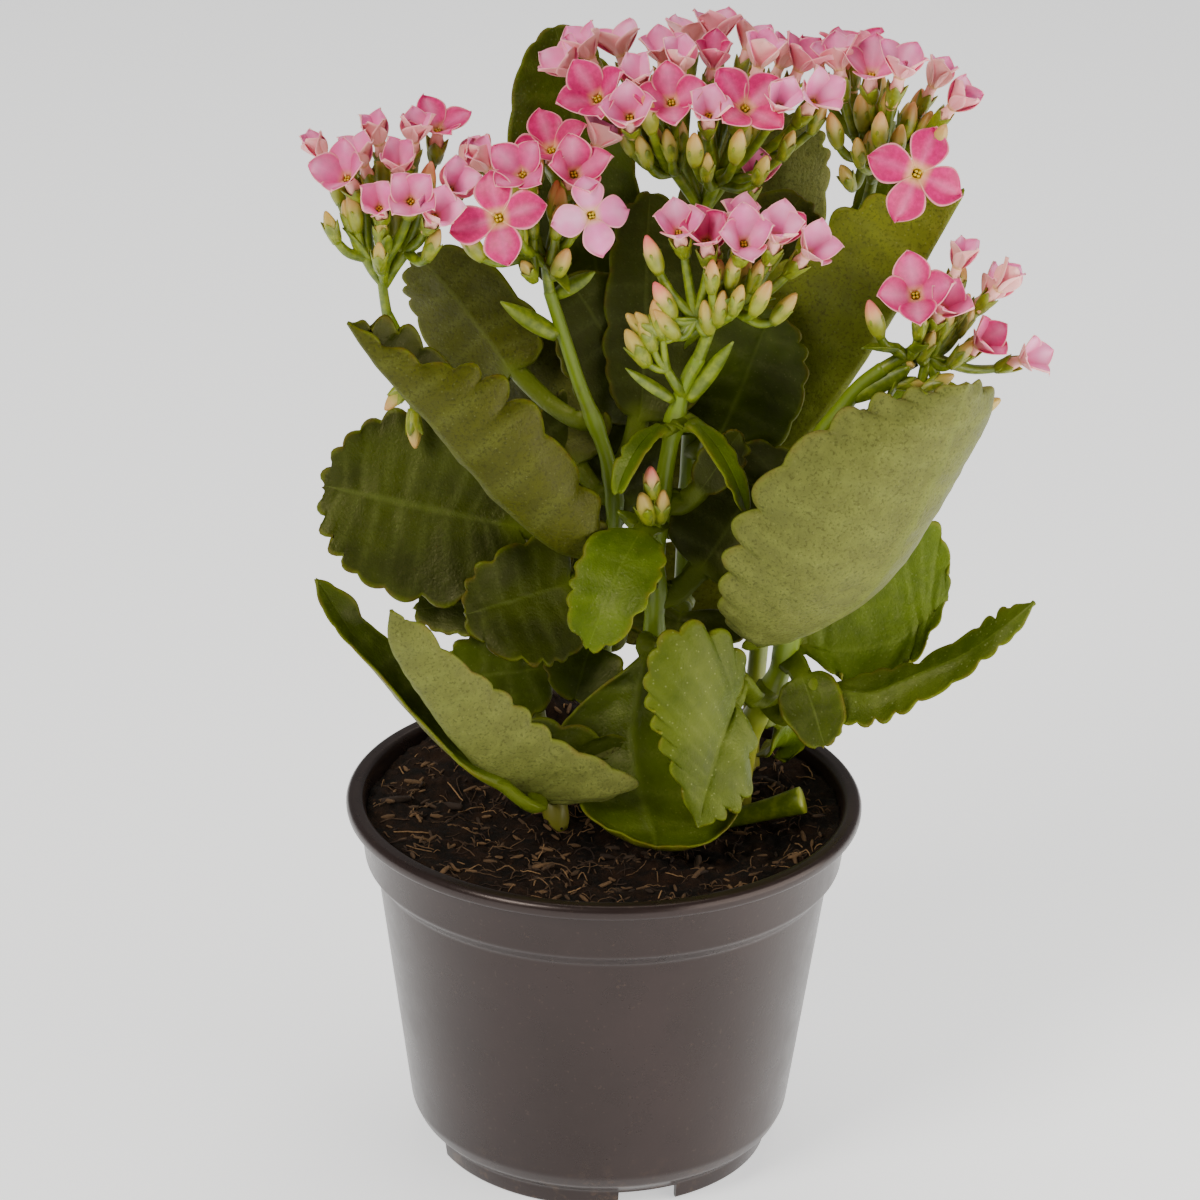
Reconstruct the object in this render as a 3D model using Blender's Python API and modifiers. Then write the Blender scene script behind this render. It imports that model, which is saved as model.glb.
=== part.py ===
"""Potted kalanchoe: a nursery pot, potting soil and six flowering shoots.

Metres, +Z up. The origin is the centre of the pot's base, where it stands.
Every plant position below is in millimetres: x to the right, y to the back and
z up from the soil surface at the pot's axis, at the plant's own scale.
"""

import math

import bpy
import bmesh
from mathutils import Matrix, Vector

# ---------------------------------------------------------------- pot (metres)
POT_RIM_DIAMETER = 0.120
POT_HEIGHT = 0.0875
POT_BASE_DIAMETER = 0.0896
POT_WALL = 0.0014
LIP_HEIGHT = 0.0036
LIP_DEPTH = 0.0030
COLLAR_HEIGHT = 0.0120
COLLAR_STEP = 0.0042
FOOT_INSET = 0.0042
FOOT_HEIGHT = 0.0045
SHOULDER_HEIGHT = 0.0055
DRAIN_NOTCH_WIDTH = 0.0140
DRAIN_NOTCH_ANGLE = math.radians(-73.0)
DRAIN_NOTCHES = 4
DRAIN_HOLE_DIAMETER = 0.0070
DRAIN_HOLES = 8
CENTRE_WELL_DIAMETER = 0.0230
POT_SEGMENTS = 44

# --------------------------------------------------------------- soil (metres)
SOIL_BELOW_RIM = 0.0065
SOIL_MOUND = 0.0150
MOUND_WIDTH = 0.0150
MOUND_DEPTH = 0.0115
FIT_GAP = 0.0003

# -------------------------------------------------------------- plant (metres)
PLANT_HEIGHT = 0.182
PLANT_UNITS = 182.0
POT_UNITS = 60.0
FOOT_UNITS = 3.0
STEM_DIAMETER = 0.0064
STEM_TAPER = 0.62
ROOT_DEPTH = 0.014
LEAF_THICKNESS = 0.0013
PETIOLE_THICKNESS = 0.0030
PETIOLE_WIDTH = 0.0044
PETIOLE_HEEL = 0.0018
COROLLA_DIAMETER = 0.0165
COROLLA_THICKNESS = 0.0008
PEDICEL_DIAMETER = 0.0018
CALYX_DIAMETER = 0.0042
CALYX_LENGTH = 0.0075
HEAD_UNITS = 16.5
HEAD_OPENING = 0.65
STUB_LENGTH = 0.0148
STUB_DIAMETER = 0.0068

RIM_RADIUS = POT_RIM_DIAMETER / 2
SOIL_LEVEL = POT_HEIGHT - SOIL_BELOW_RIM
UNIT = PLANT_HEIGHT / PLANT_UNITS
POT_UNIT = RIM_RADIUS / POT_UNITS

# ----------------------------------------------------------- colours (linear)
PLASTIC = (0.082, 0.070, 0.071)
SOIL_BROWN = (0.022, 0.013, 0.007)
STEM_GREEN = (0.180, 0.290, 0.050)
LEAF_GREEN = (0.085, 0.150, 0.028)
LEAF_PALE = (0.200, 0.260, 0.120)
LEAF_LIGHT = (0.150, 0.290, 0.040)
CALYX_GREEN = (0.300, 0.400, 0.060)
PINK_HOT = (0.800, 0.060, 0.290)
PINK_MID = (0.860, 0.190, 0.440)
PINK_PALE = (0.900, 0.480, 0.560)

# Shoots: name, radius factor, centreline (x, y, z) above the soil.
STEMS = {
    "stem_centre": (1.00, [(10, 0, 0), (11, 0, 26), (11, -1, 71), (15, -5, 104), (19, -8, 116)]),
    "stem_right": (1.05, [(31, 8, 0), (34, 4, 22), (41, 0, 43), (43, 0, 85), (53, -2, 105), (60, -4, 113)]),
    "stem_mid_left": (0.85, [(-2, 13, 0), (-1, 12, 40), (1, 8, 78), (-8, 4, 108), (-14, 1, 128)]),
    "stem_left": (0.80, [(-11, -1, 0), (-16, 10, 22), (-22, 20, 55), (-30, 20, 84), (-45, 8, 110), (-50, 1, 122)]),
    "stem_back": (0.90, [(17, 28, 0), (18, 29, 60), (19, 28, 110), (20, 23, 133)]),
    "stem_back_right": (0.90, [(34, 26, 0), (38, 34, 50), (44, 37, 90), (52, 35, 120), (57, 27, 141)]),
}

# Leaves: stem, height on it, tip, way the upper face looks, half widths to the
# left and right of the midrib, fold (degrees each side), arch (bow of the
# midrib towards the upper face), petiole length, sweep of the basal lobes,
# widest place of the blade as a share of its length, colour.
LEAVES = {
    "leaf_right_large": ("stem_right", 49, (82, -26, 115), (-0.60, 0.60, 0.50), (18, 34), 38, -6, 7, 4, 0.30, LEAF_PALE),
    "leaf_left_large": ("stem_centre", 59, (-58, -25, 128), (0.50, 0.52, 0.69), (27, 14), 58, -5, 14, 1, 0.50, LEAF_PALE),
    "leaf_left_round": ("stem_mid_left", 66, (-65, 9, 78), (-0.05, -0.90, 0.35), (21, 22), 4, 3, 18, 8, 0.45, LEAF_GREEN),
    "leaf_left_under": ("stem_mid_left", 50, (-44, 8, 48), (0.00, -0.75, 0.65), (8, 9), 6, 2, 14, 4, 0.30, LEAF_GREEN),
    "leaf_centre_left": ("stem_mid_left", 57, (-32, -13, 56), (-0.10, -0.90, 0.35), (16, 12), 6, 2, 9, 5, 0.30, LEAF_GREEN),
    "leaf_lower_left": ("stem_mid_left", 34, (-38, 3, 33), (0.00, -0.95, 0.30), (11, 11), 6, 3, 10, 4, 0.30, LEAF_GREEN),
    "leaf_lower_mid": ("stem_mid_left", 41, (-7, 0, 30), (-0.20, -0.90, 0.30), (9, 9), 8, 2, 3, 2, 0.30, LEAF_GREEN),
    "leaf_front_left_low": ("stem_left", 4, (-48, -42, 66), (0.50, 0.50, 0.70), (22, 8), 58, -5, 13, 9, 0.35, LEAF_PALE),
    "leaf_front_left_far": ("stem_left", 15, (-66, -20, 66), (0.45, 0.40, 0.80), (12, 9), 60, -9, 14, 4, 0.40, LEAF_LIGHT),
    "leaf_centre_small": ("stem_centre", 75, (-4, -28, 55), (-0.20, -0.85, 0.50), (9, 9), 8, 6, 6, 1, 0.40, LEAF_LIGHT),
    "leaf_front_centre": ("stem_right", 33, (22, -31, 9), (-0.25, -0.90, 0.35), (10, 17), 14, 4, 11, 7, 0.26, LEAF_PALE),
    "leaf_centre_dark": ("stem_centre", 46, (8, -17, 5), (0.00, -0.80, 0.55), (6, 15), 8, 0, 7, 2, 0.42, LEAF_GREEN),
    "leaf_right_low": ("stem_right", 30, (99, -12, 54), (0.10, -0.75, 0.65), (4, 14), -10, -4, 15, 3, 0.30, LEAF_LIGHT),
    "leaf_right_bright": ("stem_right", 46, (79, 18, 53), (0.00, -0.85, 0.50), (22, 14), 10, -2, 12, 2, 0.40, LEAF_LIGHT),
    "leaf_right_pointed": ("stem_right", 42, (50, -15, 26), (0.00, -0.95, 0.30), (7, 7), 6, 2, 4, 2, 0.35, LEAF_GREEN),
    "leaf_right_inner": ("stem_right", 24, (42, 21, 9), (0.10, -0.80, 0.60), (8, 8), 6, 2, 5, 1, 0.40, LEAF_LIGHT),
    "leaf_right_upper": ("stem_back", 68, (77, 11, 149), (-0.50, 0.70, 0.50), (8, 29), 48, -5, 18, 3, 0.30, LEAF_PALE),
    "leaf_back_right": ("stem_back_right", 106, (66, 50, 146), (0.00, -0.90, 0.40), (7, 12), 6, -2, 12, 1, 0.35, LEAF_GREEN),
    "leaf_back_grey": ("stem_back", 104, (42, 43, 157), (0.10, 0.90, 0.30), (13, 20), 8, 4, 14, 3, 0.45, LEAF_PALE),
    "leaf_back_grey_small": ("stem_back", 114, (42, 24, 144), (0.10, 0.90, 0.30), (9, 9), 6, 2, 12, 2, 0.45, LEAF_PALE),
    "leaf_top_left": ("stem_back", 92, (-14, 32, 180), (0.00, -0.90, 0.35), (16, 12), 6, 4, 34, 2, 0.40, LEAF_GREEN),
    "leaf_centre_upper": ("stem_mid_left", 82, (8, 21, 145), (0.00, -0.90, 0.35), (9, 16), 8, 2, 15, 1, 0.40, LEAF_GREEN),
    "leaf_left_upper": ("stem_mid_left", 96, (-44, 14, 132), (0.00, 0.90, 0.40), (12, 14), 8, 2, 20, 4, 0.30, LEAF_PALE),
    "leaf_left_inner": ("stem_mid_left", 76, (-26, 24, 110), (0.10, 0.90, 0.40), (13, 13), 8, 2, 10, 3, 0.30, LEAF_PALE),
    "leaf_centre_toothed": ("stem_centre", 56, (33, 10, 79), (0.00, -0.90, 0.40), (13, 13), 8, 2, 9, 1, 0.40, LEAF_GREEN),
    "leaf_centre_inner": ("stem_centre", 80, (29, -2, 97), (0.10, -0.95, 0.30), (5, 5), 8, 1, 6, 0, 0.50, LEAF_GREEN),
    "leaf_strap_right": ("stem_centre", 101, (30, -17, 84), (0.60, -0.70, 0.50), (3, 3), 20, 3, 1, 0, 0.50, LEAF_LIGHT),
    "leaf_strap_left": ("stem_centre", 99, (2, -18, 88), (-0.60, -0.70, 0.50), (3, 3), 20, 3, 1, 0, 0.50, LEAF_LIGHT),
}

# Flower stalks: stem they crown, hub of the fork, radius factor.
CYMES = {
    "flower_stalk_left": ("stem_left", (-51, -2, 131), 0.9),
    "flower_stalk_mid_left": ("stem_mid_left", (-15, 0, 136), 1.0),
    "flower_stalk_back": ("stem_back", (20, 18, 143), 1.2),
    "flower_stalk_back_right": ("stem_back_right", (58, 22, 150), 1.0),
    "flower_stalk_centre": ("stem_centre", (22, -8, 125), 1.0),
    "flower_stalk_right": ("stem_right", (66, -4, 117), 1.0),
}

# Open flowers: stalk, throat of the corolla, way it looks, size factor, colour.
FLOWERS = {
    "flower_left_outer": ("flower_stalk_left", (-58, -8, 156), (-0.4, -0.5, 0.8), 0.95, PINK_MID),
    "flower_left_front": ("flower_stalk_left", (-44, -14, 153), (0.1, -0.7, 0.7), 0.90, PINK_MID),
    "flower_left_top": ("flower_stalk_left", (-39, 6, 163), (0.1, -0.2, 1.0), 0.90, PINK_HOT),
    "flower_mid_low": ("flower_stalk_mid_left", (-25, -12, 149), (-0.3, -0.8, 0.5), 1.10, PINK_HOT),
    "flower_mid_top": ("flower_stalk_mid_left", (-14, 6, 159), (-0.1, -0.4, 0.9), 1.00, PINK_HOT),
    "flower_mid_pale": ("flower_stalk_mid_left", (-5, -12, 150), (0.2, -0.9, 0.4), 0.90, PINK_PALE),
    "flower_back_left": ("flower_stalk_back", (-4, 2, 172), (-0.4, -0.6, 0.7), 1.05, PINK_HOT),
    "flower_back_front": ("flower_stalk_back", (12, 0, 172), (-0.1, -0.6, 0.8), 0.95, PINK_MID),
    "flower_back_mid": ("flower_stalk_back", (28, 0, 171), (0.2, -0.6, 0.8), 1.05, PINK_HOT),
    "flower_back_right": ("flower_stalk_back", (42, 7, 170), (0.4, -0.4, 0.8), 0.90, PINK_PALE),
    "flower_hot_open": ("flower_stalk_back_right", (66, 0, 157), (0.2, -0.9, 0.3), 1.12, PINK_HOT),
    "flower_back_right_top": ("flower_stalk_back_right", (56, 14, 175), (0.0, -0.3, 1.0), 0.95, PINK_MID),
    "flower_centre_left": ("flower_stalk_centre", (14, -14, 147), (-0.2, -0.5, 0.9), 0.90, PINK_PALE),
    "flower_centre_mid": ("flower_stalk_centre", (28, -18, 146), (0.1, -0.6, 0.8), 0.95, PINK_PALE),
    "flower_centre_right": ("flower_stalk_centre", (42, -12, 142), (0.5, -0.4, 0.8), 0.90, PINK_PALE),
    "flower_right_open": ("flower_stalk_right", (66, -12, 133), (-0.1, -0.8, 0.6), 1.05, PINK_MID),
    "flower_right_far": ("flower_stalk_right", (91, -2, 115), (0.7, -0.4, 0.5), 0.80, PINK_PALE),
}

# Closed buds: stalk, tip of the bud.
BUDS = {
    "flower_stalk_left": [(-62, 2, 156), (-51, 8, 160)],
    "flower_stalk_mid_left": [(-10, -6, 140), (-22, 3, 158)],
    "flower_stalk_back": [(2, 14, 172), (36, 20, 172)],
    "flower_stalk_back_right": [(66, 18, 168), (47, 8, 168)],
    "flower_stalk_centre": [(7, -10, 145), (5, -12, 128)],
    "flower_stalk_right": [(56, -10, 131), (78, 6, 134), (80, -4, 120)],
}


def clear_scene():
    """Remove every object that is already in the scene."""
    for old in list(bpy.data.objects):
        bpy.data.objects.remove(old, do_unlink=True)


def make_collection(name, hidden=False):
    """A collection under the scene's own."""
    found = bpy.data.collections.new(name)
    bpy.context.scene.collection.children.link(found)
    found.hide_render = hidden
    return found


def material(name, colour, roughness, metallic=0.0):
    """A Principled BSDF material."""
    made = bpy.data.materials.new(name)
    made.use_nodes = True
    shader = made.node_tree.nodes["Principled BSDF"]
    shader.inputs["Base Color"].default_value = (*colour, 1.0)
    shader.inputs["Roughness"].default_value = roughness
    shader.inputs["Metallic"].default_value = metallic
    return made


def link(name, mesh, group, mat, smooth_angle=40.0):
    """A mesh object in the collection, shaded smooth but for its sharp edges."""
    obj = bpy.data.objects.new(name, mesh)
    group.objects.link(obj)
    if mat is not None:
        mesh.materials.clear()
        mesh.materials.append(mat)
    mesh.shade_smooth()
    mesh.set_sharp_from_angle(angle=math.radians(smooth_angle))
    return obj


def bake(obj, name, weld=0.00001):
    """The evaluated mesh of an object, welded, as a mesh of its own."""
    bpy.context.view_layer.update()
    seen = bpy.context.evaluated_depsgraph_get()
    mesh = bpy.data.meshes.new_from_object(obj.evaluated_get(seen), depsgraph=seen)
    mesh.transform(obj.matrix_world)
    mesh.name = name
    work = bmesh.new()
    work.from_mesh(mesh)
    bmesh.ops.remove_doubles(work, verts=work.verts, dist=weld)
    bmesh.ops.recalc_face_normals(work, faces=work.faces)
    work.to_mesh(mesh)
    work.free()
    return mesh


def turned(name, profile, group, segments=POT_SEGMENTS):
    """A closed profile of (radius, height) pairs turned round the Z axis."""
    work = bmesh.new()
    points = [work.verts.new((r, 0.0, z)) for r, z in profile]
    for a, b in zip(points, points[1:]):
        work.edges.new((a, b))
    mesh = bpy.data.meshes.new(name)
    work.to_mesh(mesh)
    work.free()
    obj = bpy.data.objects.new(name, mesh)
    group.objects.link(obj)
    screw = obj.modifiers.new("Screw", "SCREW")
    screw.steps = segments
    screw.render_steps = segments
    screw.use_merge_vertices = True
    screw.merge_threshold = 0.00001
    screw.use_smooth_shade = True
    return obj


def cutter(name, mesh, group):
    """A cutting solid, left out of the model."""
    obj = bpy.data.objects.new(name, mesh)
    group.objects.link(obj)
    obj.hide_render = True
    obj.display_type = "WIRE"
    return obj


def boolean(obj, other, operation):
    """An exact Boolean modifier on obj."""
    modifier = obj.modifiers.new(operation.title(), "BOOLEAN")
    modifier.operation = operation
    modifier.solver = "EXACT"
    modifier.object = other
    return modifier


def pot_levels():
    """The radii and heights that the pot's outer and inner faces share."""
    collar = RIM_RADIUS - LIP_DEPTH
    wall_top = collar - COLLAR_STEP
    wall_low = POT_BASE_DIAMETER / 2
    low = FOOT_HEIGHT + SHOULDER_HEIGHT
    ledge = POT_HEIGHT - LIP_HEIGHT - COLLAR_HEIGHT
    foot = wall_low - FOOT_INSET
    return collar, wall_top, wall_low, low, ledge, foot


def outer_profile():
    """The pot's outer face, from the lip down to the foot."""
    collar, wall_top, wall_low, low, ledge, foot = pot_levels()
    return [
        (RIM_RADIUS - 0.0009, POT_HEIGHT),
        (RIM_RADIUS, POT_HEIGHT - 0.0012),
        (RIM_RADIUS - 0.0002, POT_HEIGHT - LIP_HEIGHT + 0.0004),
        (collar, POT_HEIGHT - LIP_HEIGHT - 0.0003),
        (collar - 0.0014, ledge + 0.0010),
        (collar - 0.0022, ledge),
        (wall_top, ledge - 0.0022),
        (wall_low, low),
        (wall_low - 0.0014, low - 0.0030),
        (foot, FOOT_HEIGHT),
        (foot - 0.0006, 0.0),
    ]


def inner_profile():
    """The pot's inner face, from the raised floor up to the lip."""
    collar, wall_top, wall_low, low, ledge, foot = pot_levels()
    return [
        (foot - 0.0016, FOOT_HEIGHT + POT_WALL),
        (wall_low - POT_WALL - 0.0004, low + 0.0006),
        (wall_top - POT_WALL, ledge - 0.0016),
        (collar - 0.0022 - POT_WALL, ledge + POT_WALL),
        (collar - POT_WALL, POT_HEIGHT - 0.0012),
    ]


def make_rim_top():
    """The lip's rounded inner edge, which ends the inner face."""
    collar = RIM_RADIUS - LIP_DEPTH
    return (collar - POT_WALL + 0.0009, POT_HEIGHT)


def make_pot(group, cutters):
    """A turned pot with a raised, holed floor, a centre well and foot notches."""
    foot = pot_levels()[-1]
    well = CENTRE_WELL_DIAMETER / 2
    floor = FOOT_HEIGHT
    under = [
        (foot - 0.0006 - POT_WALL, 0.0),
        (foot - 0.0004 - POT_WALL, floor),
        (well + 0.0030, floor),
        (well, 0.0),
        (0.0, 0.0),
    ]
    inside = [
        (0.0, POT_WALL),
        (well - 0.0009, POT_WALL),
        (well + 0.0021, floor + POT_WALL),
        *inner_profile(),
        make_rim_top(),
    ]
    pot = turned("nursery_pot", inside + outer_profile() + under, group)
    notch = bmesh.new()
    for k in range(DRAIN_NOTCHES):
        turn = Matrix.Rotation(DRAIN_NOTCH_ANGLE + k * math.tau / DRAIN_NOTCHES, 4, "Z")
        place = turn @ Matrix.Translation((0.0, -foot, 0.0))
        size = Matrix.Diagonal((DRAIN_NOTCH_WIDTH, 0.012, 2 * (FOOT_HEIGHT - 0.0006), 1.0))
        bmesh.ops.create_cube(notch, size=1.0, matrix=place @ size)
    mesh = bpy.data.meshes.new("foot_notches")
    notch.to_mesh(mesh)
    notch.free()
    boolean(pot, cutter("foot_notches", mesh, cutters), "DIFFERENCE")
    holes = bmesh.new()
    ring = (well + 0.0030 + foot - POT_WALL) / 2
    for k in range(DRAIN_HOLES):
        turn = Matrix.Rotation((k + 0.5) * math.tau / DRAIN_HOLES, 4, "Z")
        place = turn @ Matrix.Translation((ring, 0.0, floor + POT_WALL / 2))
        bmesh.ops.create_cone(
            holes, cap_ends=True, segments=12, radius1=DRAIN_HOLE_DIAMETER / 2,
            radius2=DRAIN_HOLE_DIAMETER / 2, depth=3 * POT_WALL, matrix=place,
        )
    mesh = bpy.data.meshes.new("drain_holes")
    holes.to_mesh(mesh)
    holes.free()
    boolean(pot, cutter("drain_holes", mesh, cutters), "DIFFERENCE")
    shell = bake(pot, "nursery_pot")
    bpy.data.objects.remove(pot, do_unlink=True)
    return link("nursery_pot", shell, group, material("pot_plastic", PLASTIC, 0.42), 35.0)


def soil_height(x, y):
    """Height of the soil's lumpy surface above its level, in metres."""
    r = math.hypot(x, y) / RIM_RADIUS
    away = ((x + 0.28 * RIM_RADIUS) / MOUND_WIDTH) ** 2 + ((y - 0.63 * RIM_RADIUS) / MOUND_DEPTH) ** 2
    mound = SOIL_MOUND * math.exp(-away)
    lumps = 0.0007 * math.sin(x * 310.0 + 0.6) * math.cos(y * 270.0 - 0.4)
    lumps += 0.0005 * math.sin(x * 520.0 - y * 430.0)
    return mound + lumps * min(1.0, 1.5 * (1.0 - r)) - 0.0012 * r * r


def make_soil(group, cutters):
    """The soil's turned body with a lumpy top, with sockets for the shoots."""
    gap = FIT_GAP
    inner = inner_profile()
    low_edge, high_edge = inner[-2:]
    rise = (SOIL_LEVEL - low_edge[1]) / (high_edge[1] - low_edge[1])
    edge = low_edge[0] + (high_edge[0] - low_edge[0]) * rise - gap
    profile = [(0.0, SOIL_LEVEL)]
    for share in (0.22, 0.38, 0.50, 0.60, 0.69, 0.77, 0.85, 0.93):
        profile.append((share * edge, SOIL_LEVEL))
    profile.append((edge, SOIL_LEVEL))
    for radius, height in reversed(inner[:-1]):
        profile.append((radius - gap, height + (gap if radius == inner[0][0] else 0.0)))
    profile.append((0.0, inner[0][1] + gap))
    body = turned("potting_soil", profile, group, segments=32)
    mesh = bake(body, "potting_soil")
    bpy.data.objects.remove(body, do_unlink=True)
    for vertex in mesh.vertices:
        inside = math.hypot(vertex.co.x, vertex.co.y) < edge - 0.001
        if vertex.co.z > SOIL_LEVEL - 0.0005 and inside:
            vertex.co.z += soil_height(vertex.co.x, vertex.co.y)
    soil = link("potting_soil", mesh, group, material("potting_soil", SOIL_BROWN, 0.95), 60.0)
    sockets = bmesh.new()
    for factor, points in STEMS.values():
        foot = place(points[0])
        radius = stem_radius(factor, 0.0) + 2 * gap
        socket = Matrix.Translation((foot.x, foot.y, SOIL_LEVEL - ROOT_DEPTH / 2 + 0.005))
        bmesh.ops.create_cone(
            sockets, cap_ends=True, segments=10, radius1=radius, radius2=radius,
            depth=ROOT_DEPTH + 0.010 + 2 * gap, matrix=socket,
        )
    cut = bpy.data.meshes.new("stem_sockets")
    sockets.to_mesh(cut)
    sockets.free()
    boolean(soil, cutter("stem_sockets", cut, cutters), "DIFFERENCE")
    return soil


def stem_radius(factor, share):
    """Radius of a shoot at a share of its height."""
    return STEM_DIAMETER / 2 * factor * (1.0 + (STEM_TAPER - 1.0) * share)


def place(point):
    """A plant position in metres: the foot spreads with the pot, the rest with the height."""
    foot = min(1.0, max(0.0, 1.0 - point[2] / FOOT_UNITS))
    spread = UNIT + (POT_UNIT - UNIT) * foot
    return Vector((point[0] * spread, point[1] * spread, SOIL_LEVEL + point[2] * UNIT))


def place_in_head(stalk, point):
    """A flower's or bud's place: a head opens out as its flowers grow."""
    top = place(CYMES[stalk][1])
    growth = COROLLA_DIAMETER / (HEAD_UNITS * 0.001)
    return top + (place(point) - top) * (1.0 + HEAD_OPENING * (growth - 1.0))


def smooth_path(points, steps):
    """Points read off a smooth curve through the given ones."""
    found = []
    last = len(points) - 1
    for i in range(last):
        a = points[max(i - 1, 0)]
        b = points[i]
        c = points[i + 1]
        d = points[min(i + 2, last)]
        for k in range(steps):
            t = k / steps
            mixed = 2 * b + t * (c - a) + t * t * (2 * a - 5 * b + 4 * c - d)
            mixed += t * t * t * (3 * b - a - 3 * c + d)
            found.append(mixed / 2)
    found.append(points[-1])
    return found


def stem_path(name):
    """The centreline of a shoot from the soil up, in metres."""
    return smooth_path([place(p) for p in STEMS[name][1]], 2)


def on_stem(name, height):
    """Centre, direction and radius of a shoot at a height above the soil."""
    path = stem_path(name)
    level = SOIL_LEVEL + height * UNIT
    span = path[-1].z - path[0].z
    for a, b in zip(path, path[1:]):
        if b.z >= level:
            t = (level - a.z) / (b.z - a.z)
            share = (level - path[0].z) / span
            return a.lerp(b, t), (b - a).normalized(), stem_radius(STEMS[name][0], share)
    return path[-1], (path[-1] - path[-2]).normalized(), stem_radius(STEMS[name][0], 1.0)


def make_stem(name, group, mat):
    """A tapering shoot: a poly curve with a round bevel, rooted in its socket."""
    path = stem_path(name)
    root = path[0] - Vector((0.0, 0.0, ROOT_DEPTH))
    path = [root] + path
    curve = bpy.data.curves.new(name, "CURVE")
    curve.dimensions = "3D"
    curve.bevel_depth = 1.0
    curve.bevel_resolution = 2
    curve.use_fill_caps = True
    line = curve.splines.new("POLY")
    line.points.add(len(path) - 1)
    for i, point in enumerate(path):
        share = max(0.0, (point.z - SOIL_LEVEL) / (path[-1].z - SOIL_LEVEL))
        line.points[i].co = (*point, 1.0)
        line.points[i].radius = stem_radius(STEMS[name][0], share)
    guide = bpy.data.objects.new(name, curve)
    group.objects.link(guide)
    mesh = bake(guide, name)
    bpy.data.objects.remove(guide, do_unlink=True)
    return link(name, mesh, group, mat)


def cubic(p, q, r, s, t):
    """A point on a cubic Bezier curve."""
    u = 1.0 - t
    return p * u ** 3 + q * (3 * u * u * t) + r * (3 * u * t * t) + s * t ** 3


def blade_width(share, widest):
    """Half width of an ovate blade with a blunt tip, as a share of its widest."""
    rise = math.sqrt(max(0.0, 1.0 - (1.0 - min(share / widest, 1.0)) ** 2))
    fall = math.sqrt(max(0.0, 1.0 - (max(share - widest, 0.0) / (1.0 - widest)) ** 2.3))
    return rise * fall


BLADE_ROWS = (0.03, 0.14, 0.32, 0.54, 0.76, 0.92, 1.0)
BLADE_COLUMNS = (-1.0, -0.5, 0.0, 0.5, 1.0)


def midrib(spec):
    """Bezier points of a leaf's midrib from the stem's surface to the tip."""
    stem, height, tip, face, halves, fold, arch, petiole, lobe, widest, colour = spec
    centre, along, radius = on_stem(stem, height)
    end = place(tip)
    away = end - centre
    away -= along * away.dot(along)
    away.normalize()
    start = centre + away * (radius * 1.03 + 2 * FIT_GAP + PETIOLE_HEEL)
    look = Vector(face).normalized()
    span = end - start
    lean = look - span * (look.dot(span) / span.length_squared)
    bow = lean.normalized() * (arch * UNIT * 4 / 3)
    lead = (start + away * (petiole * UNIT)).lerp(start + span / 3, 0.4)
    return start, lead + bow, start + span * (2 / 3) + bow, end, away


def leaf_point(spec, curve, share, side):
    """A point of the leaf: share runs base to tip, side from -1 to 1."""
    stem, height, tip, face, halves, fold, arch, petiole, lobe, widest, colour = spec
    length = (curve[3] - curve[0]).length
    stalk = petiole * UNIT / length
    at = cubic(*curve[:4], max(share, 0.0))
    after = cubic(*curve[:4], min(share + 0.02, 1.0))
    ahead = (after - cubic(*curve[:4], max(share - 0.02, 0.0))).normalized()
    if share <= 0.0:
        ahead = curve[4]
    if share < 0.0:
        at = curve[0] - ahead * PETIOLE_HEEL
    look = Vector(face).normalized()
    look = (look - ahead * look.dot(ahead)).normalized()
    across = ahead.cross(look)
    blade = (share - stalk) / (1.0 - stalk)
    half = (halves[1] if side > 0 else halves[0]) * UNIT
    stalk_half = PETIOLE_WIDTH / 2
    width = stalk_half
    swept = 0.0
    if blade > 0:
        width = max(half * blade_width(blade, widest), stalk_half * (1.0 - 0.4 * blade))
        swept = lobe * UNIT * side * side * max(0.0, 1.0 - blade / 0.5) ** 2
    angle = math.radians(fold)
    rise = abs(side) * width * math.sin(angle)
    if blade <= 0:
        rise = 0.0
    return at + across * (side * width * math.cos(angle)) + look * rise - ahead * swept


def make_leaf(name, group, mat):
    """A leaf: a lofted sheet given its thickness, thicker along the petiole."""
    spec = LEAVES[name]
    curve = midrib(spec)
    stalk = spec[7] * UNIT / (curve[3] - curve[0]).length
    rows = [-1.0, 0.0] + [stalk + (1.0 - stalk) * b for b in BLADE_ROWS]
    work = bmesh.new()
    thick = work.verts.layers.deform.verify()
    grid = []
    for share in rows:
        row = []
        for side in BLADE_COLUMNS:
            vertex = work.verts.new(leaf_point(spec, curve, share, side))
            body = 1.0 if share < stalk else 0.35 * (1.0 - abs(side)) * (1.0 - share)
            vertex[thick][0] = body
            row.append(vertex)
        grid.append(row)
    for low, high in zip(grid, grid[1:]):
        for k in range(len(BLADE_COLUMNS) - 1):
            work.faces.new((low[k], low[k + 1], high[k + 1], high[k]))
    mesh = bpy.data.meshes.new(name)
    work.to_mesh(mesh)
    work.free()
    leaf = link(name, mesh, group, mat, 60.0)
    leaf.vertex_groups.new(name="body")
    shell = leaf.modifiers.new("Solidify", "SOLIDIFY")
    shell.thickness = PETIOLE_THICKNESS
    shell.offset = 0.0
    shell.vertex_group = "body"
    shell.thickness_vertex_group = LEAF_THICKNESS / PETIOLE_THICKNESS
    return leaf


def facing(direction):
    """The rotation that turns +Z to a direction."""
    return Vector(direction).normalized().to_track_quat("Z", "Y").to_matrix().to_4x4()


def rod(work, start, end, low, high, sides=5):
    """A tapering round rod between two points."""
    span = end - start
    place_at = Matrix.Translation(start.lerp(end, 0.5)) @ facing(span)
    bmesh.ops.create_cone(
        work, cap_ends=True, segments=sides, radius1=low, radius2=high,
        depth=span.length, matrix=place_at,
    )


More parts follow.
